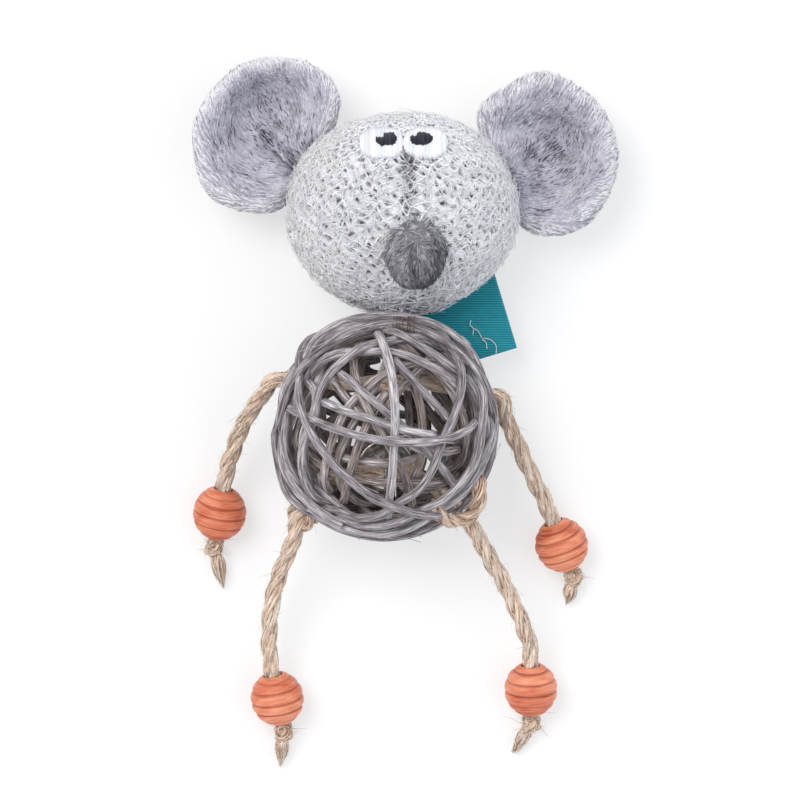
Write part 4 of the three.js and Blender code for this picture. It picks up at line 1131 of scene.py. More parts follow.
class MOUSE_OT_neck_tie(bpy.types.Operator):
    """Wrap the brown thread that ties the head to the ball's top strand"""
    bl_idname = "mouse.neck_tie"
    bl_label = "Neck Tie"

    def execute(self, context):
        rng = np.random.default_rng(21)
        paths = []
        for wrap in range(7):
            t = np.linspace(0, TAU * 0.97, 22) + rng.uniform(0, TAU)
            lean = rng.uniform(-0.3, 0.3)
            ring = np.stack([lean * np.cos(t), np.cos(t), np.sin(t)], axis=1)
            paths.append(TO_NECK * 30.7 + ring * 1.95 + ((wrap - 3) * 0.55, 0, 0))
        for x in np.linspace(2.2, 8.2, 7) + rng.uniform(-0.35, 0.35, 7):
            stitch = [(x + 0.2, 30.9, -3), (x, 31.1, 3), (x, 30.3, 8.0), (x - 0.1, 29.2, 11.2),
                      (x - 0.2, 27.9, 13.2), (x, 26.9, 11.8)]
            paths.append(routed(stitch, 0.5))
        for strand in range(5):
            share = np.linspace(0, 1, 12)[:, None]
            side = rng.normal(0, 0.45, 3) + rng.normal(0, 0.2, (1, 3))
            run = TO_NECK * (32.2 + share * 6.0)
            paths.append(run + side + waves(run, 4.0, strand)[:, None] * 0.15)
        material = fibre_material(
            "brown_thread", [(0.2, (0.34, 0.27, 0.23)), (0.6, (0.5, 0.42, 0.37)),
                             (0.9, (0.66, 0.59, 0.53))],
            9.0, 1.2, 0.8, tinted=0.3, bump_depth=0.08)
        radii = [0.17 if len(path) > 24 else 0.3 for path in paths]  # the long ones are stitches
        thread_piece("neck_tie_thread", paths, 1.0, 6, radii, seed=22, body="ball",
                     material=material, replaces=["neck_tie"])
        return {"FINISHED"}


BELL_RADIUS = 7.6
BELL_WALL = 0.6
BELL_DOWN = 11.0  # from the rope's middle to the bell's
SLOT, SLOT_HOLE = 1.5, 1.6  # the slots' width and the radius of the holes at their ends


def spun(name, profile, steps, place):
    """A closed form spun round Z from a profile of (radius, height), then placed."""
    form = bmesh.new()
    spots = [form.verts.new((radius, 0, height)) for radius, height in profile]
    edges = [form.edges.new(pair) for pair in zip(spots, spots[1:] + spots[:1])]
    bmesh.ops.spin(
        form, geom=spots + edges, cent=(0, 0, 0), axis=(0, 0, 1), angle=TAU, steps=steps,
        use_merge=True,
    )
    bmesh.ops.remove_doubles(form, verts=form.verts, dist=1e-5)
    bmesh.ops.dissolve_degenerate(form, edges=form.edges, dist=1e-6)
    bmesh.ops.recalc_face_normals(form, faces=form.faces)
    grain = np.array([vertex.co for vertex in form.verts])
    for vertex, spot in zip(form.verts, placed(place(grain))):
        vertex.co = spot
    mesh = mesh_of(form, name)
    set_values(mesh, "grain", grain)
    return mesh


class MOUSE_OT_bell(bpy.types.Operator):
    """Form the nickel jingle bell's two shells, its eye and its pea"""
    bl_idname = "mouse.bell"
    bl_label = "Jingle Bell"

    def execute(self, context):
        material, tree, shader = new_material("nickel", 0.24, metallic=1.0)
        shader.inputs["Base Color"].default_value = colour_of(context.scene.mouse_trim.nickel)
        bump(tree, shader, noise(tree, place_in_mm(tree), 0.9, 3.0), 0.35, 0.12)
        middle = np.array(BELL_HANG) - (0, 0, BELL_DOWN)
        inner = BELL_RADIUS - BELL_WALL
        rises = np.linspace(0.09, math.pi / 2, 16)
        shell = [(inner, 0.15), (BELL_RADIUS + 0.45, 0.15), (BELL_RADIUS + 0.5, 0.5),
                 (BELL_RADIUS + 0.3, 0.85)]
        shell += [(BELL_RADIUS * math.cos(a), BELL_RADIUS * math.sin(a)) for a in rises]
        shell += [(inner * math.cos(a), inner * math.sin(a)) for a in rises[::-1]]
        for half, sign in (("bell_upper", 1), ("bell_lower", -1)):
            mesh = spun(half, shell, 48, lambda spots: spots * (1, sign, sign) + middle)
            piece = add_piece(half, mesh, "bell", material, [half + "_shell"])
        for cutter in self.slots(middle):
            cut = piece.modifiers.new("slot", "BOOLEAN")
            cut.operation, cut.solver, cut.object = "DIFFERENCE", "EXACT", cutter
        graph = context.evaluated_depsgraph_get()
        made = bpy.data.meshes.new_from_object(piece.evaluated_get(graph))
        for cut in list(piece.modifiers):
            cutter = cut.object
            piece.modifiers.remove(cut)
            bpy.data.objects.remove(cutter)
        piece.data = made
        t = np.linspace(0, TAU, 40)
        eye = np.stack([0 * t, 3.35 * np.sin(t), 3.35 * np.cos(t)], axis=1) + BELL_HANG
        thread_piece("bell_eye", [eye], 0.5, 10, body="bell", material=material)
        ball = round_form(
            "bell_pea_steel", 24, 14,
            lambda turn, tilt: np.stack(
                [np.sin(tilt) * np.cos(turn), np.sin(tilt) * np.sin(turn), np.cos(tilt)], axis=1,
            ) * 2.0 + middle - (0, 0, inner - 2.3),
        )
        add_piece("bell_pea_steel", ball, "bell_pea", material, ["bell_pea"])
        return {"FINISHED"}

    def slots(self, middle):
        """Two crossed slots, and the round holes at their ends."""
        out = BELL_RADIUS * math.cos(math.pi / 4)
        cuts = []
        for size in ((2 * out, SLOT, 8.0), (SLOT, 2 * out, 8.0)):
            form = bmesh.new()
            bmesh.ops.create_cube(form, size=1)
            cuts.append((form, size, (0, 0, -4.4 - BELL_RADIUS / 4)))
        for x, y in ((1, 0), (-1, 0), (0, 1), (0, -1)):
            form = bmesh.new()
            bmesh.ops.create_cone(form, cap_ends=True, segments=24, radius1=SLOT_HOLE,
                                  radius2=SLOT_HOLE, depth=7)
            cuts.append((form, (1, 1, 1), (x * out, y * out, -BELL_RADIUS)))
        for form, size, away in cuts:
            for vertex in form.verts:
                vertex.co = placed(np.array(vertex.co) * size + middle + away)
        return [linked("bell_cutter", mesh_of(form, "bell_cutter")) for form, _, _ in cuts]


BEAD_RADIUS = 7.55
BEAD_BORE = 2.6
BEAD_END = 2.8
BEAD_TURN = math.asin(BEAD_END / BEAD_RADIUS)  # how far from its pole the bead's outside starts
BEAD_REACH = BEAD_LENGTH / 2 / math.cos(BEAD_TURN)
BEAD_GROOVES = 5
GROOVING = {"left_arm": (0.12, 0.85)}  # the one bead whose grooves are fine cuts


def bead_profile(rng, wide, narrow):
    """The turned outside of a bead as (radius, height), with its grooves, and its bore. The
    depth of a groove is that of a wide scoop and a narrow cut together."""
    profile = [(BEAD_BORE, -BEAD_LENGTH / 2 + 0.5), (BEAD_END, -BEAD_LENGTH / 2)]
    marks = np.arange(1, BEAD_GROOVES + 1) / (BEAD_GROOVES + 1) + rng.uniform(-0.02, 0.02, 5)
    deep = rng.uniform(0.4, 0.7, 5)
    for share in np.linspace(0, 1, 121)[1:-1]:
        turn = BEAD_TURN + share * (math.pi - 2 * BEAD_TURN)
        away = (share - marks) * (BEAD_GROOVES + 1) * 2
        depth = (deep * (wide * np.exp(-(away / 0.5) ** 2)
                         + narrow * np.exp(-(away / 0.2) ** 2))).sum()
        profile.append((math.sin(turn) * BEAD_RADIUS - depth, -math.cos(turn) * BEAD_REACH))
    profile += [(BEAD_END, BEAD_LENGTH / 2), (BEAD_BORE, BEAD_LENGTH / 2 - 0.5)]
    return profile


class MOUSE_OT_beads(bpy.types.Operator):
    """Turn the four grooved wooden beads"""
    bl_idname = "mouse.beads"
    bl_label = "Wooden Beads"

    def execute(self, context):
        trim = context.scene.mouse_trim
        material, tree, shader = new_material("orange_wood", 0.42, specular=0.45)
        shifted = add_node(
            tree, "ShaderNodeVectorMath", {0: attribute(tree, "grain", "Vector"),
                                           1: place_in_mm(tree)}, operation="ADD")
        streaks = noise(tree, grain_of(tree, 0.2, 2.2), 1.0, 5.0, 0.65)
        slow = noise(tree, shifted.outputs[0], 0.16, 2.0)
        value = calculate(tree, "MULTIPLY_ADD", streaks, 1.25, -0.37)
        value = calculate(tree, "MULTIPLY_ADD", slow, 1.0, value)
        value = calculate(tree, "SUBTRACT", value, 0.15, clamp=True)
        wood = shades_from(
            tree, value, [(0.12, trim.wood_dark), (0.42, trim.wood), (0.85, trim.wood_pale)])
        # The groove value mixes in the dark colour as painted shade in the grooves.
        blend = add_node(  # its inputs 0, 6 and 7 are the share and the two colours
            tree, "ShaderNodeMix", {0: attribute(tree, "groove"), 6: wood,
                                    7: colour_of(trim.wood_dark)}, data_type="RGBA")
        tree.links.new(blend.outputs[2], shader.inputs["Base Color"])
        bump(tree, shader, streaks, 0.5, 0.08)
        rng = np.random.default_rng(51)
        for name in LIMBS:
            bead, aim = bead_place(name)
            across = unit(np.cross(aim, (0, 0, 1)))
            basis = np.stack([across, np.cross(aim, across), aim])
            profile = bead_profile(rng, *GROOVING.get(name, (0.5, 0.5)))
            mesh = spun(name + "_wooden_bead", profile, 64, lambda spots: spots @ basis + bead)
            grain = values_of(mesh, "grain")
            full = BEAD_RADIUS * np.sqrt(np.maximum(0, 1 - (grain[:, 2] / BEAD_REACH) ** 2))
            depth = full - np.hypot(grain[:, 0], grain[:, 1])
            # Painted shade: the deeper a place lies in a groove, the darker it is painted.
            set_values(mesh, "groove", np.clip(depth / 0.6 - 0.3, 0, 0.75))
            set_values(mesh, "grain", grain + rng.uniform(-60, 60, 3))
            add_piece(name + "_wooden_bead", mesh, name + "_bead", material,
                      [name + "_bead"])
        return {"FINISHED"}


# -------- head

HEAD = np.array((4.9, 60.99, -7.09))
HEAD_HALF = np.array((32.4, 27.9, 25.0))  # the fabric's outline, where other pieces meet it
CHIN_TAPER = 0.1
CREASE = 1.8  # the forehead's crease lies this far to the right of the head's middle
# Where the head's outline swells or draws in: the share, the turn and the spread.
HEAD_BULGES = ((0.018, 1.1, 0.3), (-0.025, 1.6, 0.5), (0.03, -1.72, 0.3), (0.02, -1.05, 0.3))
EYES_AT = ((-6.5, 18), (6.6, 18))
SETTLED = 0.6  # how far the yarn lies inside the head's outline, under its fluff


def head_way(turn, tilt):
    return np.stack(
        [np.sin(tilt) * np.sin(turn), np.cos(tilt), np.sin(tilt) * np.cos(turn)], axis=-1)


def head_spot(settings, turn, tilt, lift=0.0):
    """A place on the knitted head, and the way out of it. The turn goes round from the face and
    the tilt down from the crown; the lift is the height over the fabric."""
    half = np.array((settings.width, settings.length, settings.depth)) / MM / 2
    way = head_way(turn, tilt)
    spot = way * half
    spot[..., 2] *= 1 - CHIN_TAPER * np.maximum(0, -way[..., 1]) ** 2
    out = unit(way / half)
    edge = np.arctan2(spot[..., 1], spot[..., 0])
    fuller = 0.035 * np.exp(-(((edge + 2.25) / 0.42) ** 2)) * (1 - np.abs(way[..., 2])) ** 0.5
    for share, middle, spread in HEAD_BULGES:
        fuller = fuller + share * np.exp(-(((edge - middle) / spread) ** 2))
    spot = spot * (1 + fuller[..., None])
    x, y, front = spot[..., 0] - CREASE, spot[..., 1], smooth(way[..., 2] * 3)
    band = smooth((y + 4) / 5) * smooth((18 - y) / 4)
    sunk = 1.3 * np.exp(-((x / 1.9) ** 2)) * band
    sunk += 2.0 * np.exp(-(x ** 2 + (y - 13.2) ** 2) / 5.0)
    for eye_x, eye_y in EYES_AT:
        sunk -= 0.8 * np.exp(-(((spot[..., 0] - eye_x) / 6) ** 2 + ((y - eye_y) / 5.5) ** 2))
    pleat = np.cos(15 * turn + 0.8) + 0.6 * np.cos(23 * turn)
    low = smooth((tilt - 2.3) / 0.5) * (0.8 + 0.2 * np.sin(turn))
    lump = 0.45 * waves(spot + HEAD, 15.0, 61)
    level = lump - sunk * front + 0.75 * pleat * low + lift - SETTLED
    return spot + HEAD + out * level[..., None], out


def in_crease(spots):
    """How near places are to the forehead's crease, from 0 to 1."""
    x, y = spots[:, 0] - HEAD[0] - CREASE, spots[:, 1] - HEAD[1]
    band = smooth((y + 6) / 6) * smooth((17 - y) / 3) * (spots[:, 2] > HEAD[2])
    dimple = np.exp(-(x ** 2 + (y - 12.5) ** 2) / 5.0) * (spots[:, 2] > HEAD[2])
    return np.minimum(1, 0.6 * band * np.exp(-((x / 2.2) ** 2)) + dimple)


def paint_crease_and_chin_shade(mesh, amount):
    """Paints shade on the yarn in the forehead's crease and under the chin."""
    spots = values_of(mesh, "position") / MM - BALL
    # Painted shade under the chin, growing below the head's middle.
    low = smooth((HEAD[1] - 22 - spots[:, 1]) / 6)
    set_values(mesh, "tint", values_of(mesh, "tint") - amount * (in_crease(spots) + 0.8 * low))


YARN_STEPS = 7  # places along the yarn in each cell of the net


def knit_drift(turn, tilt):
    """How far the knitting wanders from an even net, in turn and in tilt."""
    way = 30 * head_way(turn, tilt)
    return (0.03 * waves(way, 8.0, 25) / np.maximum(np.sin(tilt), 0.3),
            0.026 * waves(way, 8.0, 26))


def knit_spacing(settings):
    """The tilt of the first round of yarn, and from one to the next."""
    return 0.12, (math.pi - 0.27) / (settings.rounds - 1)


def knit_hollow(settings, turn, tilt):
    """How deep in a cell of the net a place on the fabric is, from 0 on the yarn to 1."""
    first, spacing = knit_spacing(settings)
    sideways, down = knit_drift(turn, tilt)
    column = (turn - sideways) * settings.stitches / TAU
    row = (tilt - down - first) / spacing - 0.5
    return smooth((-np.cos(TAU * column) * np.cos(math.pi * row) - 0.1) / 0.8)


def knit_rounds(settings, rng):
    """The yarn's zigzag through every round, whose points meet the rounds above and below."""
    column = np.arange(settings.stitches * YARN_STEPS + 3) / YARN_STEPS
    first, spacing = knit_spacing(settings)
    paths = []
    for number in range(settings.rounds):
        ring = rng.normal(0, 1, (3, settings.stitches + 1))
        at = column % settings.stitches
        drift = np.array([np.interp(at, np.arange(settings.stitches + 1), row) for row in ring])
        swing = np.arcsin(0.93 * np.cos(TAU * column + math.pi * number)) / math.asin(0.93)
        turn = column * TAU / settings.stitches + 0.02 * drift[0]
        tilt = first + spacing * (number + (0.5 + 0.1 * drift[1]) * swing)
        sideways, down = knit_drift(turn, tilt)
        gathered = smooth(math.sin(first + spacing * number) * 3)
        lift = 0.15 + 0.25 * np.cos(2 * TAU * column) + 0.22 * drift[2]
        spot, _ = head_spot(
            settings, turn + sideways, np.clip(tilt + down, 0.05, math.pi - 0.06), lift * gathered)
        paths.append(above_floor(spot, 0.5))
    return paths


def scattered(rng, count):
    """Turns and tilts spread evenly over the head, apart from its back, which has half as many."""
    ways = unit(rng.normal(size=(count * 2, 3)))
    ways = ways[(ways[:, 2] > -0.15) | (rng.uniform(size=len(ways)) < 0.5)][:count]
    return np.arctan2(ways[:, 0], ways[:, 2]), np.arccos(np.clip(ways[:, 1], -1, 1))


class MOUSE_OT_head(bpy.types.Operator):
    """Knit the stuffed head: its fabric, every stitch of the yarn and the fluff on it"""
    bl_idname = "mouse.head"
    bl_label = "Knitted Head"

    def execute(self, context):
        head = context.scene.mouse_head
        rng = np.random.default_rng(31)
        material, tree, shader = new_material("knit_ground", 1.0, sheen=0.2, specular=0.1)
        rough = noise(tree, place_in_mm(tree), 1.1, 3.0, 0.7)
        value = calculate(tree, "MULTIPLY_ADD", rough, 0.7, 0.3)
        # Painted shade: the fabric darkens with its hollow value, its depth in a cell of the net
        # and its nearness to the crease.
        value = calculate(
            tree, "MULTIPLY_ADD", attribute(tree, "hollow"), -0.75, value, clamp=True)
        paint(tree, shader, value, [(0.05, head.hollow), (0.6, head.grey)])
        bump(tree, shader, value, 0.9, 0.5)

        def fabric(turn, tilt):
            outside, share = two_walls(tilt)
            down = share * (math.pi - 0.16)
            deep = knit_hollow(head, turn, down)
            spot, _ = head_spot(head, turn, down, np.where(outside, -0.15 - 1.25 * deep, -1.9))
            # The hollow value is painted shade: the depth in a cell of the net, or nearness to the
            # crease; the fabric's inside wall gets a fixed 0.6 of it.
            shades.append(np.where(outside, np.maximum(deep, 0.8 * in_crease(spot)), 0.6))
            return above_floor(spot, 0.3)

        shades = []
        skin = round_form("knitted_head_fabric", 180, 150, fabric)
        set_values(skin, "hollow", shades[0])
        skin = add_piece("knitted_head_fabric", skin, "head", material,
                         ["head_knit_cover"])

        yarn = fibre_material(
            "grey_yarn", [(0.05, head.hollow), (0.42, head.grey), (0.8, head.pale)],
            3.0, 0.8, 0.95, tinted=0.27, patches=0.35, patch_length=3.0, bump_depth=0.15,
            sheen=0.3, specular=0.15, contrast=2.5)
        paths = knit_rounds(head, rng)
        radii = [1 + 0.3 * waves(path, 2.2, 33 + i) for i, path in enumerate(paths)]
        mesh = threads("knitted_head_stitches", paths, head.yarn / MM / 2, 6, radii, seed=34)
        paint_crease_and_chin_shade(mesh, 1.0)
        add_piece("knitted_head_stitches", mesh, "head", yarn)

        self.fluff("knitted_head_fluff", head, yarn, rng, 5500, (-0.3, 0.7), 2.7, 0.22, 0.5,
                   (0.055, 0.055, 0.045, 0.02), 35)
        self.fluff("knitted_head_long_fluff", head, yarn, rng, 1100, (0.3, 0.6), 6.0, 0.05, 0.35,
                   (0.08, 0.1, 0.11, 0.11, 0.1, 0.08, 0.05), 36)
        return {"FINISHED"}

    def fluff(self, name, head, yarn, rng, count, heights, length, lift, curl, radii, seed):
        """Hairs that lie every way on the knit. The long ones keep off the eyes."""
        turn, tilt = scattered(rng, count)
        root, out = head_spot(head, turn, tilt, rng.uniform(*heights, len(turn)))
        if "long" in name:
            x, y, z = (root - HEAD).T
            clear = (np.abs(x) > 15.5) | (y < 12) | (y > 26) | (z < 0)
            root, out = root[clear], out[clear]
        way = unit(np.cross(out, unit(rng.normal(size=root.shape))))
        paths = hairs(root, way, out, length, lift, curl, len(radii), seed)
        paths = [above_floor(path, 0.15) for path in paths]
        tints = rng.uniform(0.7, 1.3, len(paths))
        mesh = threads(name, paths, 1.0, 4, [radii] * len(paths), tints)
        paint_crease_and_chin_shade(mesh, 1.3)
        add_piece(name, mesh, "head", yarn)


# -------- eyes and nose

# Each eye: its middle and size, and its pupil's, from the middle of the head.
EYES = {
    "left": ((-5.85, 18.6), (12.0, 9.2), (-4.55, 19.6), (5.7, 4.1), (-3.2, -0.85, 0.5)),
    "right": ((6.45, 18.6), (12.0, 9.3), (5.25, 19.7), (6.0, 4.1), (-3.4, -1.3, 0.85)),
}


def face_spot(settings, x, y, lift):
    """A place in front of the face from the sideways and upward distances to its middle."""
    half = np.array((settings.width, settings.length, settings.depth)) / MM / 2
    wish = np.stack(np.broadcast_arrays(np.asarray(x, float), y), axis=-1)
    aim = wish.copy()
    for _ in range(4):
        tilt = np.arccos(np.clip(aim[..., 1] / half[1], -1, 1))
        turn = np.arcsin(np.clip(aim[..., 0] / half[0] / np.maximum(np.sin(tilt), 0.01), -1, 1))
        spot, _ = head_spot(settings, turn, tilt, lift)
        aim += wish - (spot - HEAD)[..., :2]
    return spot


def satin(settings, middle, size, lift, gap, rng, notch=None):
    """Upright satin stitches over an oval on the face. A notch leaves the oval's upper left
    open, as (left, right, bottom) from its middle."""
    paths = []
    wide, tall = size[0] / 2, size[1] / 2
    for x in np.arange(-wide + gap / 2, wide, gap):
        reach = tall * max(0.02, 1 - abs(x / wide) ** 2.6) ** (1 / 2.6)
        top, bottom = reach + rng.normal(0, 0.14), -reach + rng.normal(0, 0.14)
        if notch and notch[0] < x < notch[1]:
            top = min(top, notch[2] + rng.uniform(-0.3, 0.3))
        if top - bottom < 0.6:
            continue
        share = np.linspace(0, 1, 9)
        y = bottom + share * (top - bottom)
        over = lift + 0.3 * np.sin(share * math.pi) ** 0.5 * reach / tall
        over[[0, -1]] -= 0.7
        lean = rng.normal(0, 0.06)
        paths.append(face_spot(
            settings, middle[0] + x + lean * (share - 0.5), middle[1] + y, over))
    return paths


class MOUSE_OT_eyes(bpy.types.Operator):
    """Stitch the white eyes and their dark pupils"""
    bl_idname = "mouse.eyes"
    bl_label = "Stitched Eyes"

    def execute(self, context):
        head, trim = context.scene.mouse_head, context.scene.mouse_trim
        rng = np.random.default_rng(41)
        shaded = [c * 0.86 for c in trim.eye]
        white = fibre_material(
            "white_thread", [(0.1, shaded), (0.55, trim.eye), (0.9, (1, 1, 1))],
            6.0, 0.6, 0.55, tinted=0.4, patches=0.1, bump_depth=0.05, sheen=0.2)
        navy = fibre_material(
            "navy_thread", [(0.1, [c * 0.5 for c in trim.pupil]), (0.6, trim.pupil),
                            (0.95, (0.26, 0.28, 0.34))],
            6.0, 0.6, 0.5, tinted=0.4, patches=0.1, bump_depth=0.05, sheen=0.1)
        for side, (eye, size, pupil, pupil_size, notch) in EYES.items():
            whites = satin(head, eye, (size[0] - 0.8, size[1] - 1.0), 0.4, 0.5, rng)
            whites += satin(head, eye, size, 0.75, 0.42, rng)
            darks = satin(head, pupil, pupil_size, 1.2, 0.36, rng, notch)
            darks += satin(head, pupil, (pupil_size[0] - 1.2, pupil_size[1] - 1.0), 1.35, 0.4,
                           rng, notch)
            for part, node, paths, radius, slot, material, seed in (
                    ("_eye", "_eye_white", whites, 0.3, "white_thread", white, 42),
                    ("_pupil", "_pupil", darks, 0.27, "navy_thread", navy, 43)):
                thread_piece(side + part + "_stitches", paths, radius, 6, seed=seed,
                             body="head", material=material, replaces=[side + node])
        return {"FINISHED"}


NOSE_ROOT = HEAD + np.array((3.6, -9.9, 20.0))
NOSE_RADIUS = 8.7
NOSE_LENGTH = 17
NOSE_HAIRS = 4200
NOSE_LEAN = math.radians(34)


def nose_spot(turn, rise, inset=0.0):
    """A place on the nose's dome for each turn round it and each rise, from 0 at its root to
    1 at its tip."""
    way = np.array((0, -math.sin(NOSE_LEAN), math.cos(NOSE_LEAN)))
    across = np.array((1.0, 0, 0))
    angle = np.asarray(rise) * math.pi / 2
    radius = np.maximum(np.cos(angle), 0) ** 0.72 * (NOSE_RADIUS - inset)
    height = np.sin(angle) * (NOSE_LENGTH - inset)
    spot = (NOSE_ROOT + radius[..., None] * way_at(turn, across, np.cross(way, across))
            + height[..., None] * way)
    return spot + 0.25 * waves(spot, 7.0, 71)[..., None] * unit(spot - NOSE_ROOT)


def surface_ways(spot_at, first, second):
    """Unit normals of a surface that is given by a function of two numbers."""
    step = 1e-3
    along = (spot_at(first + step, second) - spot_at(first - step, second))
    across = (spot_at(first, second + step) - spot_at(first, second - step))
    return unit(np.cross(along, across))


class MOUSE_OT_nose(bpy.types.Operator):
    """Form the stuffed plush nose and its short pile"""
    bl_idname = "mouse.nose"
    bl_label = "Plush Nose"

    def execute(self, context):
        plush = context.scene.mouse_plush
        rng = np.random.default_rng(45)
        material = fibre_material(
            "dark_plush", [(0.12, plush.nose_shade), (0.5, plush.nose), (0.92, plush.nose_pale)],
            2.5, 0.4, 1.0, tinted=0.5, patches=0.22, patch_length=3.0, bump_depth=0.1,
            sheen=0.1, specular=0.1)

        def cover(turn, tilt):
            outside, share = two_walls(tilt)
            return nose_spot(turn, 1 - share, np.where(outside, 0.4, 1.7))

        mesh = round_form("plush_nose_cover", 40, 40, cover)
        set_values(mesh, "tint", np.full(len(mesh.vertices), 0.15))
        piece = add_piece("plush_nose_cover", mesh, "head", material, ["nose_cover"])
        turn = rng.uniform(0, TAU, NOSE_HAIRS)
        rise = rng.uniform(0.0, 1, NOSE_HAIRS) ** 0.75 * 0.98
        keep = rng.uniform(size=NOSE_HAIRS) < np.cos(rise * math.pi / 2) ** 0.6 + 0.12
        turn, rise = turn[keep], rise[keep]
        root = nose_spot(turn, rise, 0.5)
        from_root = root - NOSE_ROOT
        out = surface_ways(nose_spot, turn, rise)
        out = np.where((from_root * out).sum(1, keepdims=True) < 0, -out, out)
        rim = (1 - smooth(rise / 0.3))[:, None]
        away = (np.array((0.0, -1, -0.25)) * (1 - rim) + 1.4 * rim * unit(from_root * (1, 1, 0.2))
                + 0.55 * drifting(root, 5.0, 72))
        paths, offset, tone = pile(
            root, away, out, 0.2, 1.9 + 0.7 * rim[:, 0], 0.35, 0.1, (0, 0.25, 0.5, 0.7), 46, rng)
        tints = rng.uniform(0.3, 0.8, len(paths)) + 0.35 * tone
        # Painted shade at the edges of each tuft, where the pile parts.
        tints += 0.2 - 0.75 * np.minimum(np.abs(offset) / 0.5, 1) ** 2
        # Painted shade darkens the pile towards the lower right, and painted light makes it paler
        # towards the upper left; the upper rim's hairs are paler.
        tints += from_root @ np.array((-0.045, 0.05, 0.0)) + 0.5 * rim[:, 0] * (from_root[:, 1] > 2)
        thread_piece("plush_nose_pile", paths, 1.0, 4, [(0.15, 0.15, 0.12, 0.04)] * len(paths),
                     tints, body="head", material=material)
        return {"FINISHED"}


# -------- ears

EAR_TILT = math.radians(8)
EAR_SKIN = 1.1
# Each ear: the way it points, its radius, the distance from its root to its middle and, from
# there, the middle of its hollow.
EARS = {
    "left": (math.radians(150.9), 21.8, 15.5, (4.5, -5.5)),
    "right": (math.radians(22.3), 22.5, 13.5, (2.2, -0.7)),
}
# Where an ear's outline swells or draws in: the share of its radius, the turn and the spread.
EAR_BULGES = {
    "left": ((0.085, 1.3, 0.35), (0.1, -1.83, 0.6), (-0.05, -0.15, 0.45)),
    "right": ((0.05, 1.15, 0.25), (-0.05, 1.75, 0.3), (0.06, -1.44, 0.35), (-0.02, 0.2, 0.5)),
}
# The lobes and hollows of an ear's front: the height of each, its place from the ear's root and
# its half length and half width.
EAR_LOBES = {
    "left": ((3.4, (6.5, -2.2), (5, 4)), (1.0, (7, 9), (6, 4))),
    "right": ((-1.6, (17, 0), (5, 6)), (-1.8, (9, -1), (6, 1.5)), (3.2, (8, 4), (4, 3.2)),
              (3.2, (5, -5), (4.5, 3.2))),
}
# Heights over an ear's middle layer from the middle of its hollow to its rim.
EAR_SHARES = (0, 0.2, 0.4, 0.55, 0.68, 0.8, 0.9, 1)
EAR_FRONT = (-6.0, -5.5, -3.6, -0.5, 2.5, 4.2, 4.5, 4.3)
EAR_BACK = (-9.3, -9.2, -8.7, -7.8, -6.6, -5.3, -4.4, -4.0)
EAR_THIN = 2.9  # the least there is between an ear's front and its back


class Ear:
    """The form of one ear: the share runs from 0 in its hollow to 1 at its rim."""

    def __init__(self, side):
        heading, self.radius, self.reach, hollow = EARS[side]
        self.side = side
        self.seed, self.sign = (80, -1) if side == "left" else (90, 1)
        self.root = np.array(JOINTS[side + "_ear_fold"]["pos_m"]) / MM - BALL
        self.out = np.array([math.cos(heading) * math.cos(EAR_TILT),
                             math.sin(heading) * math.cos(EAR_TILT), math.sin(EAR_TILT)])
        self.side_way = np.array([-math.sin(heading), math.cos(heading), 0.0])
        self.up = np.cross(self.out, self.side_way)
        self.hollow = (self.reach + hollow[0], hollow[1])

    def rim(self, turn):
        """The rim's distance from the ear's middle: round, and straight along its root."""
        to_root = np.maximum(-np.cos(turn), 1e-3)
        straight = (self.reach + 0.5) / to_root
        uneven = 1.0
        for bulge, middle, spread in EAR_BULGES[self.side]:
            away = (turn - middle + math.pi) % TAU - math.pi
            uneven = uneven + bulge * np.exp(-(away / spread) ** 2)
        return ((self.radius * uneven) ** -6.0 + straight ** -6.0) ** (-1 / 6)

    def spot(self, share, turn, front=True, inset=0.0):
        """A place on the front or the back of the ear."""
        share, turn = np.broadcast_arrays(np.asarray(share, float), turn)
        rim = self.rim(turn) - inset * 0.7
        x = self.hollow[0] + share * (self.reach + np.cos(turn) * rim - self.hollow[0])
        y = self.hollow[1] + share * (np.sin(turn) * rim - self.hollow[1])
        z = np.interp(share, EAR_SHARES, EAR_FRONT if front else EAR_BACK)
        rooted = smooth((7.5 - x) / 8)
        z = z * (1 - 0.4 * rooted * smooth(share * 1.6))
        place = (self.root + x[..., None] * self.out + y[..., None] * self.side_way)
        soft = 0.55 * waves(place, 16.0, self.seed) + 0.2 * waves(place, 7.0, self.seed + 1)
        if front:
            back = np.interp(share, EAR_SHARES, EAR_BACK)
            z = np.maximum(z + self.folds(x, y), back + EAR_THIN)
        z = z + soft
        z = z - inset if front else z + inset
        edge = np.sqrt(np.maximum(0, 1 - (np.maximum(share - 0.8, 0) / 0.2) ** 2))
        return place + (z * edge)[..., None] * self.up

    def lay(self, places):
        """The way that the pile lies: away from the root and up, more so at the sides."""
        from_root = places - self.root
        angle = np.arctan2(from_root[:, 1], self.sign * from_root[:, 0])
        steep = 0.47 + 0.7 * angle
        if self.side == "left":
            far = smooth((np.linalg.norm(from_root, axis=1) - 19) / 9)
            steep = steep + 0.5 * far * np.exp(-((angle - 0.1) / 0.45) ** 2)
        return np.stack([self.sign * np.cos(steep), np.sin(steep), 0 * steep], axis=1)

    def crease(self, x, y):
        """How deep in the narrow fold of the left ear's front a place is."""
        away = y - 3.3 + 0.37 * (x - 7.1)
        return np.exp(-(away / 1.3) ** 2) * smooth((19 - x) / 4) * smooth((x + 2) / 5)

    def folds(self, x, y):
        """The crease and the soft lobes of an ear's front."""
        rise = -4.0 * self.crease(x, y) if self.side == "left" else 0.0
        for height, (at_x, at_y), (long, wide) in EAR_LOBES[self.side]:
            rise = rise + height * np.exp(-(((x - at_x) / long) ** 2 + ((y - at_y) / wide) ** 2))
        return rise


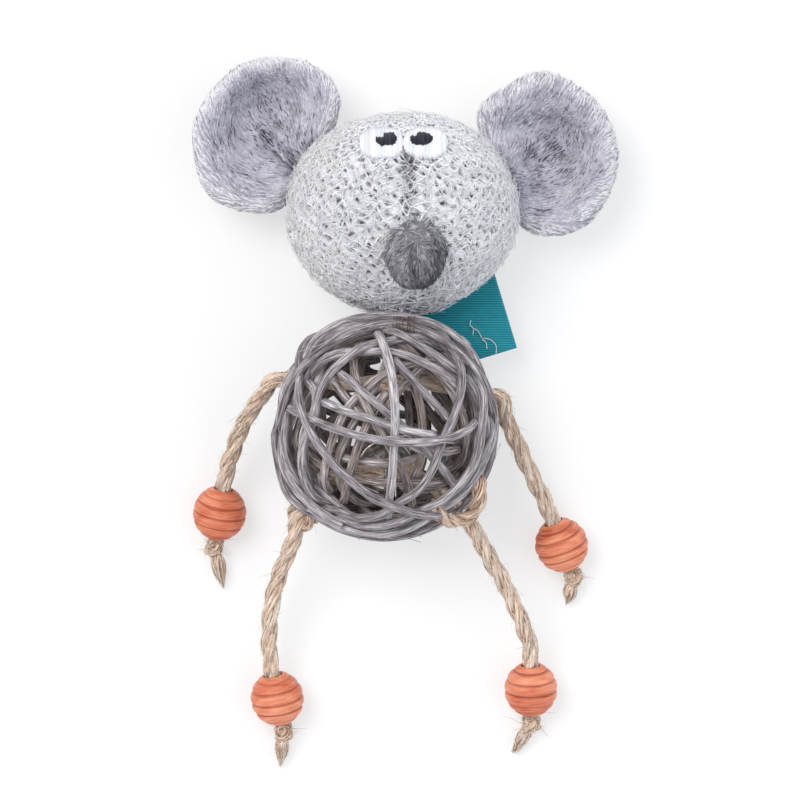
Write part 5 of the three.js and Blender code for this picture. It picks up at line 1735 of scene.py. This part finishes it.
class MOUSE_OT_ears(bpy.types.Operator):
    """Form the two stuffed plush ears and lay their pile"""
    bl_idname = "mouse.ears"
    bl_label = "Plush Ears"

    def execute(self, context):
        plush = context.scene.mouse_plush
        material = fibre_material(
            "grey_plush", [(0.1, plush.ear_shade), (0.48, plush.ear), (0.88, plush.ear_pale)],
            2.5, 0.35, 1.0, tinted=0.5, patches=0.22, patch_length=5.0, bump_depth=0.1,
            sheen=0.15, specular=0.1)
        for side in EARS:
            ear = Ear(side)
            for face, front, count in (("front", True, 7500), ("back", False, 3800)):
                def panel(turn, tilt):
                    outside, share = two_walls(tilt)
                    outer = ear.spot(share, turn, front)
                    inner = ear.spot(share, turn, front, EAR_SKIN)
                    return np.where(outside[:, None], outer, inner)

                name = f"{side}_ear_{face}"
                mesh = round_form(name, 56, 44, panel)
                set_values(mesh, "tint", np.full(len(mesh.vertices), 0.2))
                piece = add_piece(name + "_plush", mesh, side + "_ear", material,
                                  [name + "_panel"])
                self.cover(plush.pile / MM, ear, name, front, count, material)
        return {"FINISHED"}

    def cover(self, length, ear, name, front, count, material):
        """Lays the pile on one face of an ear."""
        rng = np.random.default_rng(ear.seed + front)
        turn = rng.uniform(0, TAU, count)
        share = np.sqrt(rng.uniform(0.0, 1, count))
        root = ear.spot(share, turn, front)
        out = surface_ways(lambda s, t: ear.spot(np.clip(s, 0, 1), t, front),
                           np.clip(share, 0.01, 0.985), turn)
        upward = ear.up if front else -ear.up
        rim = (root - ear.root) - ear.reach * ear.out
        sense = (out @ upward) + 0.02 * (out * rim).sum(1)
        out = np.where(sense[:, None] < 0, -out, out)
        near = np.linalg.norm((root - HEAD) / HEAD_HALF, axis=1)
        free = near > 0.97  # of the head
        root, out, near, share = root[free], out[free], near[free], share[free]
        away = ear.lay(root) + 0.2 * drifting(root, 9.0, ear.seed + 3)
        paths, offset, tone = pile(
            root, away, out, 0.35, length, 0.34, 0.05, (0, 0.35, 0.7), ear.seed + 7, rng)
        tints = rng.uniform(0.3, 0.75, len(paths)) + 0.16 * tone
        # Painted shade at the edges of each tuft, where the pile parts.
        tints += 0.2 - 0.65 * np.minimum(np.abs(offset) / 0.55, 1) ** 2
        # Painted shade: the front's pile is darker in the ear's hollow and, on the left ear, in its
        # crease.
        if front:
            flat = root - ear.root
            deep = np.exp(-(share / 0.45) ** 2)
            if ear.side == "left":
                deep = deep + 2.2 * ear.crease(flat @ ear.out, flat @ ear.side_way)
            tints -= 0.6 * deep
        # A painted highlight on the rim, and a painted shadow near the head where the ear meets it.
        tints += 0.5 * smooth((share - 0.74) / 0.2) - 0.5 * smooth((1.12 - near) / 0.12)
        thread_piece(name + "_pile", paths, 1.0, 4, [(0.16, 0.16, 0.05)] * len(paths), tints,
                     body=ear.side + "_ear", material=material)


# -------- label and stuffing

LABEL_ROOT = HEAD + np.array((6.1, -34.6, 0))
LABEL_LEVEL = FLOOR + 12
LABEL_WIDTH = 22.5
LABEL_LENGTH = 24
LABEL_WAY = np.array([math.cos(math.radians(16.8)), math.sin(math.radians(16.8))])
LABEL_SIDE = np.array([-LABEL_WAY[1], LABEL_WAY[0]])
FOLD_RADIUS = 0.55
RIBBON_THICKNESS = 0.45
# The loose threads on the label, by pixels of the photograph.
LOOSE_THREADS = [
    [(471, 320), (470, 325), (473, 328), (473, 335)], [(473, 328), (478, 331), (482, 338)],
    [(482, 339), (486, 343), (487, 349)], [(483, 338), (491, 340), (496, 346), (496, 354)],
]


class MOUSE_OT_label(bpy.types.Operator):
    """Fold the bare woven ribbon of the label, and add its few loose threads"""
    bl_idname = "mouse.label"
    bl_label = "Woven Label"

    def execute(self, context):
        mesh, area = self.folded()
        ribbon = add_piece("folded_ribbon_label", mesh, "label",
                           self.woven(context.scene.mouse_trim.ribbon), ["woven_label"])
        level = LABEL_LEVEL + 2.4
        paths = [routed([seen(px, py, level) for px, py in pixels], 0.3)
                 for pixels in LOOSE_THREADS]
        white = fibre_material(
            "pale_thread", [(0.1, (0.75, 0.75, 0.75)), (0.8, (0.96, 0.96, 0.96))],
            6.0, 1.0, 0.8, bump_depth=0.03)
        thread_piece("label_loose_threads", paths, 0.13, 6, seed=67, body="label",
                     material=white)
        return {"FINISHED"}

    def start(self, width):
        """How far along the label the strip at a width comes out from under the head."""
        run = np.arange(0, LABEL_LENGTH - 4, 0.25)
        spots = LABEL_ROOT[:2] + run[:, None] * LABEL_WAY + width * LABEL_SIDE
        in_ball = np.hypot(*spots.T) < 29.6
        in_head = np.linalg.norm((spots - HEAD[:2]) / HEAD_HALF[:2], axis=1) < 0.84
        hidden = np.flatnonzero(in_ball | in_head)
        return run[hidden[-1]] if len(hidden) else 0.0

    def folded(self):
        """The ribbon, folded over itself at its lower end, and the area it takes when flat."""
        columns, rows = 96, 40
        across = np.linspace(-LABEL_WIDTH / 2, LABEL_WIDTH / 2, rows + 1)
        starts = np.array([self.start(width) for width in across])
        end = LABEL_LENGTH - FOLD_RADIUS
        around = math.pi * FOLD_RADIUS
        form = bmesh.new()
        bmesh.ops.create_grid(form, x_segments=columns, y_segments=rows, size=1)
        weave = []
        for vertex in form.verts:
            width = vertex.co.y / 2 * LABEL_WIDTH
            start = np.interp(width, across, starts)
            flat = end - start
            run = (vertex.co.x + 1) / 2 * (2 * flat + around)
            if run < flat:
                x, z = start + run, 2 * FOLD_RADIUS
            elif run < flat + around:
                turn = (run - flat) / FOLD_RADIUS
                x, z = end + FOLD_RADIUS * math.sin(turn), FOLD_RADIUS * (1 + math.cos(turn))
            else:
                x, z = end - (run - flat - around), 0
            bend = 0.5 * math.sin(x / 9 + width / 11) + 0.7 * smooth((width - 4) / 8) * x / 24
            spot = LABEL_ROOT[:2] + x * LABEL_WAY + width * LABEL_SIDE
            vertex.co = placed((*spot, LABEL_LEVEL + z + 0.2 + bend))
            place = np.array((start + run, width))
            weave.append((place @ LABEL_WAY, place @ LABEL_WAY[::-1], 0.0))
        mesh = mesh_of(form, "label_ribbon")
        set_values(mesh, "weave", weave)
        form = bmesh.new()
        form.from_mesh(mesh)
        bmesh.ops.solidify(form, geom=form.verts[:] + form.edges[:] + form.faces[:],
                           thickness=RIBBON_THICKNESS * MM)
        bmesh.ops.recalc_face_normals(form, faces=form.faces)
        form.to_mesh(mesh)
        form.free()
        return mesh, float((2 * (end - starts) + around).sum()) * LABEL_WIDTH / rows

    def woven(self, colour):
        material, tree, shader = new_material("teal_ribbon", 0.6, sheen=0.25, specular=0.3)
        own, value = attribute(tree, "weave", "Vector"), 0.0
        for way, scale, part in (("Y", 0.476, 0.6), ("X", 0.85, 0.25)):  # its weft and its warp
            bands = add_node(
                tree, "ShaderNodeTexWave", {"Vector": own, "Scale": scale, "Distortion": 0.2,
                                            "Detail": 1.0}, bands_direction=way)
            value = calculate(tree, "MULTIPLY_ADD", bands.outputs["Fac"], part, value)
        value = calculate(tree, "MULTIPLY_ADD", noise(tree, own, 0.5, 3.0), 0.35, value)
        deep = [c * 0.72 for c in colour]
        pale = [min(1, c * 1.12 + 0.07) for c in colour]
        paint(tree, shader, value, [(0.15, deep), (0.5, colour), (0.9, pale)])
        bump(tree, shader, value, 0.8, 0.15)
        return material


class MOUSE_OT_stuffing(bpy.types.Operator):
    """Fluff up the wadding inside the head, nose and ears, and the catnip pouch"""
    bl_idname = "mouse.stuffing"
    bl_label = "Stuffing"

    def execute(self, context):
        white, tree, shader = new_material("white_filling", 1.0, sheen=0.3)
        value = noise(tree, place_in_mm(tree), 0.7, 5.0, 0.7)
        paint(tree, shader, value, [(0.3, (0.82, 0.82, 0.8)), (0.7, (0.97, 0.97, 0.95))])
        bump(tree, shader, value, 1.0, 0.6)
        green, tree, shader = new_material("dried_catnip", 1.0)
        place = place_in_mm(tree)
        cells = add_node(tree, "ShaderNodeTexVoronoi", {"Vector": place, "Scale": 0.9})
        value = calculate(tree, "MULTIPLY_ADD", noise(tree, place, 0.8, 4.0), 0.8,
                          cells.outputs["Distance"])
        paint(tree, shader, value, [(0.3, (0.27, 0.31, 0.17)), (0.6, (0.46, 0.5, 0.3)),
                                    (0.95, (0.66, 0.66, 0.44))])
        bump(tree, shader, value, 1.0, 0.5)
        for side in EARS:
            ear = Ear(side)

            def wad(turn, tilt):
                front, share = two_walls(tilt)
                upper, lower = (ear.spot(share * 0.84, turn, face, EAR_SKIN + 0.12)
                                for face in (True, False))
                return np.where(front[:, None], upper, lower)

            piece = add_piece(side + "_ear_wadding", round_form("ear_wadding", 40, 30, wad),
                              side + "_ear", white, [side + "_ear_filling"])
        for seed, (node, body, material, away) in enumerate((
            ("head_filling", "head", white, 2.1), ("nose_filling", "head", white, 0.3),
            ("catnip_pouch", "head", green, 0.12),
        )):
            form = bmesh.new()
            form.from_mesh(frame["nodes"][node].data)
            bmesh.ops.remove_doubles(form, verts=form.verts, dist=1e-6)
            bmesh.ops.subdivide_edges(form, edges=form.edges, cuts=1, use_grid_fill=True)
            spots = np.array([vertex.co for vertex in form.verts]) / MM
            middle = spots.mean(0)
            deeper = away + 0.12 * waves(spots, 5.0, 95 + seed)
            for vertex, spot, amount in zip(form.verts, spots, deeper):
                vertex.co = Vector((spot - unit(spot - middle) * amount) * MM)
            mesh = mesh_of(form, node)
            name = node.replace("filling", "wadding").replace("pouch", "leaves")
            piece = add_piece(name, mesh, body, material, [node])
        return {"FINISHED"}


# -------- panel and run

OPERATORS = (
    MOUSE_OT_stage, MOUSE_OT_limbs, MOUSE_OT_cores, MOUSE_OT_ball, MOUSE_OT_neck_tie,
    MOUSE_OT_bell, MOUSE_OT_beads, MOUSE_OT_head, MOUSE_OT_eyes, MOUSE_OT_nose, MOUSE_OT_ears,
    MOUSE_OT_label, MOUSE_OT_stuffing,
)


class VIEW3D_PT_mouse(bpy.types.Panel):
    """Lists the mouse's settings and the operators that make its pieces"""
    bl_label = "Catnip Mouse"
    bl_space_type = "VIEW_3D"
    bl_region_type = "UI"
    bl_category = "Mouse"

    def draw(self, context):
        for operator in OPERATORS:
            self.layout.operator(operator.bl_idname)
        for name, group in SETTINGS:
            box = self.layout.box()
            box.label(text=group.__doc__)
            for setting in group.__annotations__:
                box.prop(getattr(context.scene, name), setting)


def register():
    for name, group in SETTINGS:
        bpy.utils.register_class(group)
        setattr(bpy.types.Scene, name, bpy.props.PointerProperty(type=group))
    for operator in OPERATORS:
        bpy.utils.register_class(operator)
    bpy.utils.register_class(VIEW3D_PT_mouse)


def unregister():
    bpy.utils.unregister_class(VIEW3D_PT_mouse)
    for operator in reversed(OPERATORS):
        bpy.utils.unregister_class(operator)
    for name, group in reversed(SETTINGS):
        delattr(bpy.types.Scene, name)
        bpy.utils.unregister_class(group)


def main():
    register()
    for operator in OPERATORS:
        family, name = operator.bl_idname.split(".")
        getattr(getattr(bpy.ops, family), name)()
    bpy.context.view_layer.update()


if __name__ == "__main__":
    main()
